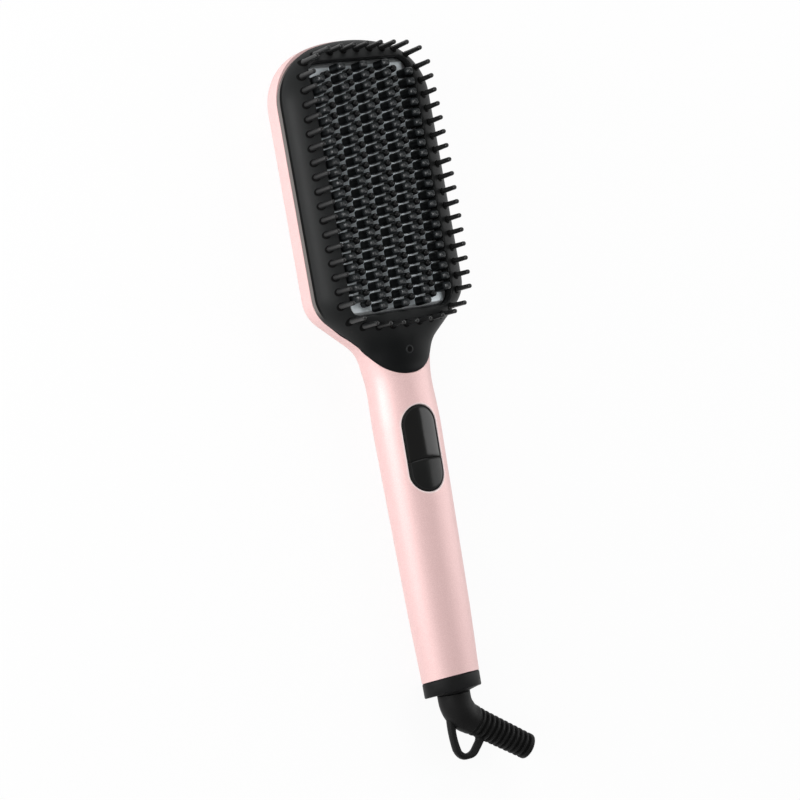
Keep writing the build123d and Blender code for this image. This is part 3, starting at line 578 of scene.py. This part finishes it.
# half of the cover: a skirt down inside the shell, the sheet from the edge in, and the opening's wall
clearance, tip_clearance, mouth_round, edge_round = 0.06, 0.75, 0.7, 2.2
inward = -outward
near, away = opening_near(cover_outline[:, 0], cover_outline[:, 1])
sheet_share = 1 - np.cos(np.linspace(0, pi / 2, 30))
edge_in = clearance + tip_clearance * ease(cover_outline[:, 1], 42, 66)[:, None]
start = cover_outline + inward * edge_in
stop = near + away * mouth_round
sheet_x = start[:, 0, None] + (stop - start)[:, 0, None] * sheet_share
sheet_y = start[:, 1, None] + (stop - start)[:, 1, None] * sheet_share
sheet_x[0] = 0
sheet_x[-1] = 0
from_edge = np.clip(sheet_share * np.linalg.norm(stop - start, axis=1)[:, None] / edge_round, 0, 1)
sheet_z = crown(sheet_x, sheet_y) + tongue_lift(sheet_y) * np.sqrt(1 - (1 - from_edge) ** 2)
skirt = []
for depth, drop in ((0.5, 4.2), (0.2, 1.4), (0.1, 0.5)):
    ring = cover_outline + inward * (edge_in + depth - clearance)
    ring[0, 0] = 0
    ring[-1, 0] = 0
    skirt.append(np.column_stack([ring, sheet_z[:, 0] - drop]))
mouth_z = crown(stop[:, 0], stop[:, 1])
mouth = []
for reach, drop in ((0.35, 0.12), (0.1, 0.38), (0.0, 0.7), (0.0, 6.0)):
    ring = near + away * reach
    ring[0, 0] = 0
    ring[-1, 0] = 0
    mouth.append(np.column_stack([ring, mouth_z - drop]))
cover_sheet = np.concatenate([
    np.stack(skirt, 1),
    np.stack([sheet_x, sheet_y, sheet_z], -1),
    np.stack(mouth, 1),
], 1)
satin = Finish("cover_nylon", specular_ior_level=0.13)
grain = satin.noise(3200, 3.0, 0.6)
patchy = satin.noise(60, 4.0, 0.55)
high = satin.axis("Z")
along = satin.axis("Y")
groove_z = 0.0190
groove_line = 1 - (high - groove_z).absolute().step(0.00055, 0.00085)
beside_head = along.step(-0.052, -0.046) * (1 - along.step(0.050, 0.060))
groove = groove_line * beside_head
# painted highlight: low down beside the head the black cover is coloured light warm grey, for its lit side
# wall
painted_lit_edge_band = (1 - high.step(0.0180, 0.0184)) * beside_head
# painted reflection: the tongue is coloured darker, for the dark surroundings it reflects
painted_tongue_shade = 1 - along.step(-0.068, -0.056)
shade = satin.blend(patchy * 0.7, (0.0120, 0.0128, 0.0130), (0.0180, 0.0188, 0.0190))
shade = satin.blend(painted_tongue_shade, shade, (0.0036, 0.0042, 0.0045))
shade = satin.blend(painted_lit_edge_band * 0.9, shade, (0.165, 0.150, 0.143))
shade = satin.blend(groove, shade, (0.001, 0.001, 0.001))
satin.set(base_color=shade, roughness=0.40 + 0.12 * patchy + 0.3 * groove)
satin.set(normal=satin.bump(grain * 0.35 - groove * 3.0, 0.25, 0.00012))
make_piece("cover_moulding", [
    patch(cover_sheet, (0, 0, 1)),
    patch(mirrored(cover_sheet), (0, 0, 1)),
], satin, stands_for=("front_cover",))


# Screw in the tongue. A small black machine screw holds the cover to a post in the handle.
# A low lip runs round its head; the drive in the middle is not cut, its hole is a near-black disc of painted
# shade.
screw_y = -69.7
screw_turns = angles_round(32)
dish = []
dish_profile = [(1.9, -0.03), (1.62, 0.20), (1.40, 0.26), (1.24, 0.20), (1.14, 0.06), (0.9, 0.03),
                (0.5, 0.03), (0.0, 0.03)]
for radius, rise in dish_profile:
    ring_x, ring_y = radius * np.cos(screw_turns), screw_y + radius * np.sin(screw_turns)
    dish.append(np.stack([ring_x, ring_y, crown(ring_x, ring_y) + tongue_lift(ring_y) + rise], -1))
black_screw = Finish("blackened_screw", specular_ior_level=0.2)
turned = black_screw.noise(1500, 2.0, 0.5, (1.0, 1.0, 6.0))
from_axis_x, from_axis_y = black_screw.axis("X"), black_screw.axis("Y") - screw_y * MM
from_axis = from_axis_x * from_axis_x + from_axis_y * from_axis_y
# painted shade: a near-black, rougher disc in the middle stands for the dark of the drive hole
painted_hole_shade = 1 - from_axis.step(0.0010**2, 0.0014**2)
black_screw.set(base_color=black_screw.blend(painted_hole_shade, (0.0150, 0.0165, 0.0170), (0.0010, 0.0010, 0.0010)))
black_screw.set(roughness=0.36 + 0.12 * turned + 0.5 * painted_hole_shade, normal=black_screw.bump(turned, 0.2, 0.0001))
make_piece("cover_screw_head", [patch(np.stack(dish, 1), (0, 0, 1), wrap=True)], black_screw,
           stands_for=("cover_screw",))


# Guard pins. Rows of blunt black pins stand round the plate, so the skin never meets it.
# Each row is moulded in nylon on a strip, and passed up through holes in the cover.
pin_pitch, pin_side_x, pin_bow = 6.25, 30.8, 0.00064
side_y = pin_pitch * (np.arange(-8, 9) + 0.5)
side_x = pin_side_x - pin_bow * (side_y + 3) ** 2
tip_x = np.array([-25.8, -19.7, -13.2, -6.6, 0.0, 6.6, 13.2, 19.7, 25.8])
tip_y = np.array([59.5, 62.4, 62.9, 63.2, 63.3, 63.2, 62.9, 62.4, 59.5])
heel_x = np.array([-25.5, -19.8, -13.3, -6.7, 0.0, 6.7, 13.3, 19.8, 25.5])
heel_y = np.array([-53.8, -56.8, -57.7, -58.1, -58.2, -58.1, -57.7, -56.8, -53.8])
pin_top, pin_sunk = 38.2, 0.9


def turned_pins(x, y, base, profile, sides):
    """Round pins at many places: a profile of radius against height, turned round each pin's axis."""
    turns = angles_round(sides)
    radius, height = np.array(profile).T
    ring = np.stack([np.cos(turns), np.sin(turns)], -1)
    shape = np.zeros((len(x), sides, len(profile), 3))
    shape[..., :2] = ring[None, :, None] * radius[None, None, :, None] + np.stack([x, y], -1)[:, None, None]
    shape[..., 2] = base[:, None, None] + height
    away = shape - np.stack([x, y, base], -1)[:, None, None] - (0, 0, 6)
    return patch(shape, away, wrap=True)


nylon = Finish("pin_nylon", specular_ior_level=0.4)
speck = nylon.noise(2200, 3.0, 0.6)
tint = nylon.noise(120, 3.0, 0.5)
tall = nylon.axis("Z").step(0.0345, 0.0378)
nylon.set(base_color=nylon.blend(tint * 0.8, (0.0100, 0.0104, 0.0106), (0.0180, 0.0184, 0.0186)))
nylon.set(roughness=0.40 - 0.08 * tall + 0.08 * tint, normal=nylon.bump(speck, 0.12, 0.0001))
for name, x, y in (
    ("guard_pins_left", -side_x, side_y),
    ("guard_pins_right", side_x, side_y),
    ("guard_pins_tip", tip_x, tip_y),
    ("guard_pins_heel", heel_x, heel_y),
):
    pin_height = float(np.mean(pin_top - (crown(x, y) - pin_sunk)))
    profile = [(1.30, 0.0), (1.24, 1.2), (1.16, 2.0), (1.12, 4.0)]
    for radius, below_top in ((1.02, 2.0), (1.05, 1.1), (0.98, 0.55), (0.74, 0.18), (0.38, 0.03), (0.0, 0.0)):
        profile.append((radius, pin_height - below_top))
    pins = turned_pins(x, y, pin_top - pin_height + 0 * x, profile, 10)
    make_piece(name + "_moulding", [pins], nylon, stands_for=(name,))


# Pin shadows. Each pin comes up through a small countersunk hole of the cover, which is not cut here.
# Flat near-black discs round the foot of each pin are painted shadow, a little wider on the side of the heel.
all_pin_x = np.concatenate([-side_x, side_x, tip_x, heel_x])
all_pin_y = np.concatenate([side_y, side_y, tip_y, heel_y])
shadow_disc_turns = angles_round(16)
shadow_disc_shift = 0.25
shadow_disc_radius = np.array([1.75, 1.4, 0.6])
shadow_disc_x = all_pin_x[:, None, None] - shadow_disc_shift + shadow_disc_radius * np.cos(shadow_disc_turns)[None, :, None]
shadow_disc_y = all_pin_y[:, None, None] - shadow_disc_shift + shadow_disc_radius * np.sin(shadow_disc_turns)[None, :, None]
shadow_disc_z = crown(shadow_disc_x, shadow_disc_y) + np.array([0.02, 0.06, 0.03])
pin_shadow = Finish("socket_shadow", specular_ior_level=0.1)
pin_shadow_tint = pin_shadow.noise(900, 2.0, 0.5)
pin_shadow.set(base_color=pin_shadow.blend(pin_shadow_tint, (0.0010, 0.0010, 0.0010), (0.0030, 0.0030, 0.0030)))
pin_shadow.set(roughness=0.8 + 0.1 * pin_shadow_tint)
pin_shadow_discs = patch(np.stack([shadow_disc_x, shadow_disc_y, shadow_disc_z], -1), (0, 0, 1), wrap=True)
make_piece("painted_pin_shadows", [pin_shadow_discs], pin_shadow)


# Heating plate. Die cast aluminium with its fins in one piece: dark ceramic coating on the fins,
# bright metal on the floor between them. A flange below the cover's opening is clamped on the frame.
floor_z, fin_height, tip_height = 23.4, 6.9, 1.9
pitch_x, pitch_y, fin_columns, fin_rows = 11.13, 4.56, 5, 24


def centred_grid(columns, rows):
    """Column and row numbers of a grid, counted from its middle."""
    column, row = np.arange(columns) - (columns - 1) / 2, np.arange(rows) - (rows - 1) / 2
    return np.meshgrid(column, row, indexing="ij")


grid_x, grid_y = centred_grid(fin_columns, fin_rows)
keep = ~((np.abs(grid_x) == grid_x.max()) & (np.abs(grid_y) == grid_y.max()))
fin_x, fin_y = grid_x[keep] * pitch_x, grid_y[keep] * pitch_y + opening_y


def squarish(turns, squareness):
    """A softened square round the origin: cos and sin of each angle to a power, with their signs kept."""
    side, high = np.cos(turns), np.sin(turns)
    return np.sign(side) * np.abs(side) ** squareness, np.sign(high) * np.abs(high) ** squareness


def blocks(x, y, base, levels, sides=12, squareness=0.55):
    """Rounded blocks at many places: at each level a softened rectangle of two half widths."""
    ring_x, ring_y = squarish(angles_round(sides) + pi / sides, squareness)
    half_x, half_y, height = np.array(levels).T
    shape = np.zeros((len(x), sides, len(levels), 3))
    shape[..., 0] = ring_x[None, :, None] * half_x + x[:, None, None]
    shape[..., 1] = ring_y[None, :, None] * half_y + y[:, None, None]
    shape[..., 2] = base + height
    away = shape - np.stack([x, y, base + 0 * x], -1)[:, None, None] - (0, 0, 4)
    return patch(shape, away, wrap=True)


plate_gap = 0.3
plate_x, plate_y = opening_half_x - plate_gap, opening_half_y - plate_gap
plate_radius = opening_radius - plate_gap
corner_turns = np.linspace(0, pi / 2, 10)
quarter_x = plate_x - plate_radius + plate_radius * np.cos(corner_turns)
quarter_y = plate_y - plate_radius + plate_radius * np.sin(corner_turns)
round_x = np.concatenate([quarter_x, -quarter_x[::-1], -quarter_x, quarter_x[::-1]])
round_y = np.concatenate([quarter_y, quarter_y[::-1], -quarter_y, -quarter_y[::-1]])
plate_rows = []
plate_levels = [(-1.5, 3.0), (-1.5, 1.3), (0.0, 1.25), (0.0, 0.3), (0.25, 0.06), (0.7, 0.0), (4.0, 0.0),
                (14.0, 0.0)]
for shrink, drop in plate_levels:
    shrunk_x, shrunk_y = round_x * (1 - shrink / plate_x), round_y * (1 - shrink / plate_y)
    plate_rows.append(np.stack([shrunk_x, shrunk_y + opening_y, floor_z - drop + 0 * round_x], -1))
spine_half = 30
plate_rows.append(np.stack([
    0 * round_x,
    opening_y + np.clip(round_y, -spine_half, spine_half),
    floor_z + 0 * round_x,
], -1))
coated = Finish("ceramic_coating", metallic=0.45, specular_ior_level=0.3)
haze = coated.noise(40, 4.0, 0.6)
grit = coated.noise(1800, 2.0, 0.5)
on_floor = 1 - coated.axis("Z").step((floor_z + 0.05) * MM, (floor_z + 0.4) * MM)
# painted shade: the bright floor turns darker grey in a border along the opening's wall, where the cover
# shades it
painted_edge_shade_x = coated.axis("X").absolute().step(0.0228, 0.0240)
painted_edge_shade_y = (coated.axis("Y") - opening_y * MM).absolute().step(0.0532, 0.0540)
bright_floor_and_painted_edge_shade = coated.blend(painted_edge_shade_x.largest(painted_edge_shade_y), (0.90, 0.97, 1.0), (0.22, 0.23, 0.235))
# painted light: the left faces of the outermost fins are coloured lighter grey, as if lit
painted_light_left_faces = 1 - coated.axis("X").step(-0.0243, -0.0236)
fin_tone_and_painted_light = coated.blend(painted_light_left_faces, (0.0042, 0.0052, 0.0056), (0.045, 0.050, 0.052))
tone = coated.blend(on_floor, fin_tone_and_painted_light, bright_floor_and_painted_edge_shade)
coated.set(base_color=coated.blend(haze * 0.08, tone, (0.030, 0.033, 0.036)))
coated.set(roughness=0.27 + 0.12 * haze, normal=coated.bump(grit, 0.10, 0.0001))
fin_sunk = 0.02
fin_levels = [(2.40, 2.00, 0.0), (2.28, 1.96, 0.45), (2.16, 1.88, 2.6), (1.96, 1.72, fin_height)]
make_piece("finned_plate", [
    patch(np.stack(plate_rows, 1), (0, 0, 1), wrap=True),
    blocks(fin_x, fin_y, floor_z - fin_sunk, fin_levels),
], coated, stands_for=("heating_plate",))


# Cool tips. Dark, slightly soft heat resisting caps are moulded over the ends of the fins.
# They are the part of each tooth that slides over the scalp.
cap_levels = [(1.96, 1.72, 0.0), (1.98, 1.75, 0.1), (1.68, 1.46, 1.0), (1.40, 1.20, 1.52), (1.16, 0.98, 1.84),
              (0.86, 0.68, tip_height), (0.50, 0.40, 1.72), (0.0, 0.0, 1.62)]
soft_cap = Finish("cool_tip", specular_ior_level=0.45)
dust = soft_cap.noise(1500, 3.0, 0.5)
blush = soft_cap.noise(45, 3.0, 0.5)
soft_cap.set(base_color=soft_cap.blend(blush, (0.008, 0.0098, 0.0108), (0.018, 0.0215, 0.0235)))
soft_cap.set(roughness=0.30 + 0.10 * dust, normal=soft_cap.bump(dust, 0.12, 0.0001))
make_piece("tooth_caps", [blocks(fin_x, fin_y, floor_z + fin_height, cap_levels)], soft_cap,
           stands_for=("tooth_tips",))


# Stub teeth. Short round nylon teeth stand between the fins and keep the hair off the floor.
# They are pressed into the plate, half a pitch away from the fins both ways.
stub_column, stub_row = centred_grid(fin_columns - 1, fin_rows - 1)
stub_x, stub_y = stub_column.ravel() * pitch_x, stub_row.ravel() * pitch_y + opening_y
stub_profile = [(1.80, 0.0), (1.70, 0.3), (1.62, 2.6), (1.52, 4.1), (1.28, 4.65), (0.8, 4.93), (0.0, 5.0)]
stub_nylon = Finish("stub_nylon", specular_ior_level=0.3)
smear = stub_nylon.noise(140, 3.0, 0.5)
fleck = stub_nylon.noise(1900, 3.0, 0.6)
stub_nylon.set(base_color=stub_nylon.blend(smear, (0.0030, 0.0032, 0.0034), (0.0060, 0.0064, 0.0066)))
stub_nylon.set(roughness=0.24 + 0.10 * smear, normal=stub_nylon.bump(fleck, 0.15, 0.0001))
stubs = turned_pins(stub_x, stub_y, floor_z + 0 * stub_x, stub_profile, 12)
make_piece("stub_tooth_mouldings", [stubs], stub_nylon, stands_for=("nylon_teeth",))


# Heater stack. Two ceramic bars and a glass bead sensor lie against the underside of the plate.
# A mica sheet and a steel clamp press them up, held by four screws; the fuse hangs below.
def dress(name, finish):
    """Gives a node of the solids its finish."""
    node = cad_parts[name]
    node.data.materials.clear()
    node.data.materials.append(finish.material)


def two_tone(name, first, second, rough, scale, depth=0.0001, **values):
    """A finish of two tones in soft patches, with fine grain in its roughness and bump."""
    made = Finish(name, **values)
    patches = made.noise(scale, 4.0, 0.55)
    fine = made.noise(scale * 14, 3.0, 0.6)
    made.set(base_color=made.blend(patches.step(0.35, 0.65), first, second))
    made.set(roughness=rough + 0.14 * patches, normal=made.bump(fine, 0.3, depth))
    return made


dress("ceramic_heaters", two_tone("alumina", (0.72, 0.70, 0.66), (0.80, 0.78, 0.74), 0.5, 160))
glass = two_tone("glass_bead", (0.42, 0.20, 0.06), (0.60, 0.32, 0.10), 0.15, 300, 0.00005, coat_weight=0.6)
dress("thermistor", glass)
dress("mica_sheet", two_tone("mica", (0.42, 0.34, 0.20), (0.60, 0.52, 0.36), 0.32, 110, metallic=0.15))
dress("heater_clamp", two_tone("zinc_sheet", (0.40, 0.41, 0.42), (0.52, 0.53, 0.54), 0.32, 140, metallic=0.9))
steel = two_tone("screw_steel", (0.34, 0.34, 0.35), (0.48, 0.48, 0.49), 0.28, 260, metallic=0.95)
dress("clamp_screws", steel)
dress("pcb_screws", steel)
dress("thermal_fuse", two_tone("fuse_case", (0.55, 0.50, 0.40), (0.68, 0.64, 0.55), 0.3, 300, metallic=0.8))


# Frames. A black glass filled frame carries the plate on posts inside the head.
# A smaller one under the control pill holds the lens and guides the button.
glass_filled = two_tone("glass_filled_nylon", (0.018, 0.018, 0.019), (0.030, 0.030, 0.031), 0.5, 120)
dress("plate_frame", glass_filled)
dress("button_frame", glass_filled)


# Control pill. The upper part is a smoked glossy lens over the display, a little below the pink.
# The lower part is the power button, a separate cap that stands slightly proud.
def pill_part(first_y, last_y, grow, levels):
    """A domed cap over part of the pill: its outline drawn in by stages, following the handle's curve."""
    rings = []
    for draw, lift in levels:
        loop = pill_loop(grow - draw, first_y - draw, last_y + draw)
        rings.append(laid(loop, lift))
    middle = np.array([0.0, (first_y + last_y) / 2])
    for share in (0.8, 0.6, 0.4, 0.2, 0.0):
        rings.append(laid(middle + (loop - middle) * share, lift))
    return patch(np.stack(rings, 1), (0, 0, 1), wrap=True)


pill_top_y, pill_low_y = pill_y + pill_half_length, pill_y - pill_half_length
smoked = Finish("smoked_lens", specular_ior_level=0.36)
frost_inner, frost_outer = (pill_half_width - 1.4) * MM, (pill_half_width - 0.9) * MM
wave = smoked.noise(70, 2.0, 0.5)
wipe = smoked.noise(500, 3.0, 0.6, (1.0, 0.2, 1.0))
smoked.set(base_color=smoked.blend(wave, (0.0018, 0.0018, 0.0016), (0.0035, 0.0035, 0.0032)))
frosted = pill_reach(smoked).step(frost_inner**2, frost_outer**2)
smoked.set(roughness=0.14 + 0.06 * wipe + 0.7 * frosted, normal=smoked.bump(wave, 0.03, 0.0001))
lens_play, button_play, split_play = 0.25, 0.3, 0.06
lens_levels = [(0.0, -1.6), (0.0, -0.42), (0.12, -0.27), (0.35, -0.2)]
lens = pill_part(pill_top_y - lens_play, split_y + split_play, -lens_play, lens_levels)
make_piece("display_window", [lens], smoked, stands_for=("display_lens",))
gloss = Finish("button_gloss", specular_ior_level=0.22)
mottle = gloss.noise(300, 3.0, 0.5)
print_wear = gloss.noise(80, 3.0, 0.5)
gloss.set(base_color=gloss.blend(print_wear, (0.0050, 0.0054, 0.0052), (0.0085, 0.0090, 0.0088)))
frosted = pill_reach(gloss).step(frost_inner**2, frost_outer**2)
gloss.set(roughness=0.20 + 0.10 * print_wear + 0.6 * frosted, normal=gloss.bump(mottle, 0.05, 0.0001))
button_levels = [(0.0, -2.0), (0.0, -0.3), (0.10, -0.12), (0.4, 0.02), (1.0, 0.14), (1.8, 0.18)]
button = pill_part(split_y - split_play, pill_low_y + button_play, -button_play, button_levels)
make_piece("button_cap", [button], gloss, body="power_button", stands_for=("power_button",))


# Electronics. One green board lies on two posts in the grip, under the control pill.
# It carries the display, the tact switch, a film capacitor and the triac.
laminate = Finish("board_laminate", coat_weight=0.3)
weave = laminate.node("ShaderNodeTexChecker", {}, {"Vector": laminate.place, "Scale": 900.0}, output="Fac")
trace = (laminate.axis("X") * 900.0 + laminate.noise(60, 2.0) * 3.0).fraction().step(0.40, 0.55)
mask = laminate.blend(trace * 0.6, (0.012, 0.110, 0.040), (0.030, 0.190, 0.070))
laminate.set(base_color=laminate.blend(weave * 0.08, mask, (0.05, 0.26, 0.10)))
laminate.set(roughness=0.35 + 0.1 * trace, normal=laminate.bump(trace + weave * 0.1, 0.3, 0.0001))
dress("main_pcb", laminate)
dress("display_module", two_tone("display_white", (0.60, 0.61, 0.62), (0.70, 0.71, 0.72), 0.4, 200))
dress("tact_switch", two_tone("switch_black", (0.020, 0.020, 0.021), (0.032, 0.032, 0.033), 0.42, 260))
dress("switch_plunger", two_tone("plunger_black", (0.022, 0.022, 0.023), (0.030, 0.030, 0.031), 0.38, 300))
dress("film_capacitor", two_tone("capacitor_box", (0.42, 0.30, 0.05), (0.52, 0.38, 0.08), 0.38, 200))
dress("triac", two_tone("epoxy_case", (0.016, 0.016, 0.017), (0.026, 0.026, 0.027), 0.5, 260))


# End cap. A black collar closes the handle and is the bearing of the cord's swivel.
# It is moulded in nylon, with a spigot glued inside the handle.
cap_back_y, cap_middle_y = -221.7, -219.0
collar_turns = angles_round(96)
rim_levels = [(-213.5, 0.5), (-215.03, 0.5), (-215.45, 0.06), (-215.7, 0.0), (-221.1, 0.05), (-221.5, 0.2),
              (-221.68, 0.5), (cap_back_y, 0.9)]
bore_levels = [(cap_back_y, 7.9), (cap_back_y, 6.6), (cap_back_y + 0.25, 5.75), (cap_back_y + 3.0, 5.65)]


def oval_ring(y, half_x, half_z):
    """A ring round the handle's axis at a position."""
    ring_x, ring_z = half_x * np.cos(collar_turns), end_centre_z + half_z * np.sin(collar_turns)
    return np.stack([ring_x, y + 0 * collar_turns, ring_z], -1)


collar = [slanted(oval_ring(y, end_half_x - draw, end_half_z - draw)) for y, draw in rim_levels]
collar = np.stack(collar + [oval_ring(y, radius, radius) for y, radius in bore_levels], 1)
rubbed = two_tone("collar_nylon", (0.0050, 0.0052, 0.0054), (0.0080, 0.0083, 0.0086), 0.42, 110,
                  specular_ior_level=0.15)
collar_form = patch(collar, collar - (0, cap_middle_y, end_centre_z), wrap=True)
make_piece("end_collar", [collar_form], rubbed, stands_for=("end_cap",))


# Cord swivel. A hard acetal tube turns in the end cap and is kept there by a split steel clip.
# Two brass rings on it meet the spring leaves of the contact block.
dress("swivel_journal", two_tone("acetal", (0.020, 0.020, 0.021), (0.028, 0.028, 0.029), 0.3, 160))
dress("swivel_clip", steel)
brass = two_tone("contact_brass", (0.55, 0.36, 0.12), (0.66, 0.46, 0.18), 0.25, 260, metallic=0.95)
dress("slip_rings", brass)
dress("contact_leaves", brass)
dress("contact_block", two_tone("phenolic", (0.10, 0.045, 0.02), (0.15, 0.07, 0.03), 0.45, 160))


# Cord boot. Neck, hanging loop and ribbed sleeve are one soft moulding on the swivel tube.
# It is black PVC, bent towards the side, and cut square where the cord would leave.
boot_front_y, bend_y, bend_reach, lean = -222.0, -230.9, 6.0, radians(35)
neck_radius, neck_last_radius = 7.4, 6.75
sleeve_from, sleeve_to, sleeve_r0, sleeve_r1 = 12.5, 40.0, 6.4, 5.9
swivel_z = end_centre_z
bend_turn = pi / 2 - lean
arc_radius = bend_reach / np.tan(bend_turn / 2)
straight = boot_front_y - (bend_y + bend_reach)


def boot_line(distance):
    """Points and headings along the boot's middle: straight, a bend of one radius, then straight."""
    turn = np.clip((distance - straight) / arc_radius, 0, bend_turn)
    before = np.clip(distance, None, straight)
    after = np.clip(distance - straight - arc_radius * bend_turn, 0, None)
    x = arc_radius * (1 - np.cos(turn)) + after * np.sin(turn)
    y = boot_front_y - before - arc_radius * np.sin(turn) - after * np.cos(turn)
    return x, y, turn


bend_end = straight + arc_radius * bend_turn
sleeve_first = bend_end + sleeve_from - bend_reach
sleeve_last = bend_end + sleeve_to - bend_reach


def boot_rings(distances, radii):
    """Rings round the boot's middle, square to it, one for each distance and radius."""
    x, y, turn = boot_line(distances)
    around = angles_round(40)
    shape = np.zeros((len(around), len(distances), 3))
    shape[..., 0] = x + radii * np.cos(turn) * np.cos(around)[:, None]
    shape[..., 1] = y + radii * np.sin(turn) * np.cos(around)[:, None]
    shape[..., 2] = swivel_z + radii * np.sin(around)[:, None]
    centres = np.stack([x, y, swivel_z + 0 * x], -1)
    return shape, shape - centres


# down the boot: the neck's front edge, the smooth run, the grooves between the ribs, and the bored end
groove_first, groove_pitch, groove_count, run_end = -3.6, 2.75, 11, sleeve_first - 4.2
groove_steps = [(-0.45, 0.0), (-0.15, 0.1), (0.02, 0.5), (0.14, 1.35), (0.8, 1.5), (1.36, 1.35), (1.48, 0.5),
                (1.65, 0.1), (1.95, 0.0)]
smooth_run = np.linspace(0, run_end, 30)[1:]
run_radii = neck_radius + (neck_last_radius - neck_radius) * ease(smooth_run, bend_end * 0.6, run_end)
boot_profile = [(0.0, 5.6), (0.0, neck_radius - 0.45), (0.12, neck_radius - 0.12), (0.4, neck_radius)]
boot_profile += zip(smooth_run, run_radii)
for groove_number in range(groove_count):
    for step, depth in groove_steps:
        at = sleeve_first + groove_first + groove_number * groove_pitch + step
        along_sleeve = (at - sleeve_first) / (sleeve_last - sleeve_first)
        outside_radius = np.interp(along_sleeve, [-0.16, 0, 1], [neck_last_radius, sleeve_r0, sleeve_r1])
        boot_profile.append((at, outside_radius - depth * min(1, 0.5 + groove_number)))
for back_off, radius in ((0.35, sleeve_r1), (0.10, sleeve_r1 - 0.05), (0.0, sleeve_r1 - 0.3), (0.0, 3.6),
                         (0.25, 3.4), (14.0, 3.4), (27.5, 3.4), (27.8, 0.0)):
    boot_profile.append((sleeve_last - back_off, radius))
distances, radii = np.array(boot_profile).T
sleeve, sleeve_out = boot_rings(distances, radii)

loop_outer = [(-5.2, -229.0, 0), (-6.5, -238.7, 60.0), (-4.9, -248.6, 9.0), (-1.6, -252.2, 5.0),
              (5.2, -252.2, 5.5), (14.6, -241.8, 0)]
loop_inner = [(-1.6, -236.0, 0), (-2.65, -238.6, 3.0), (-2.6, -245.6, 30.0), (-1.0, -249.55, 4.0),
              (3.2, -249.55, 4.0), (7.4, -244.7, 2.5), (7.2, -243.6, 0)]
hoop_rows, hoop_sides, hoop_step, hoop_half_z, hoop_squareness = 70, 20, 0.2, 1.95, 0.75
outside = spread(rounded_path(loop_outer, hoop_step), count=hoop_rows)
inside = spread(rounded_path(loop_inner, hoop_step), count=hoop_rows)
round_side, round_high = squarish(angles_round(hoop_sides), hoop_squareness)
loop_mid = (outside + inside) / 2
loop_arm = (outside - inside) / 2
hoop = np.zeros((hoop_sides, hoop_rows, 3))
hoop[..., :2] = loop_mid + loop_arm * round_side[:, None, None]
hoop[..., 2] = swivel_z + hoop_half_z * round_high[:, None]
hoop_out = hoop - np.concatenate([loop_mid, swivel_z + np.zeros((hoop_rows, 1))], 1)
rubber = Finish("boot_rubber", specular_ior_level=0.14)
bloom = rubber.noise(130, 4.0, 0.6)
pores = rubber.noise(2400, 3.0, 0.6)
rubber.set(base_color=rubber.blend(bloom, (0.0045, 0.0045, 0.0046), (0.0095, 0.0095, 0.0095)))
rubber.set(roughness=0.44 + 0.16 * bloom, normal=rubber.bump(pores, 0.3, 0.0001))
make_piece("cord_boot_moulding", [
    patch(sleeve, sleeve_out, wrap=True),
    patch(hoop, hoop_out, wrap=True),
], rubber, body="cord_swivel", stands_for=("cord_boot",))
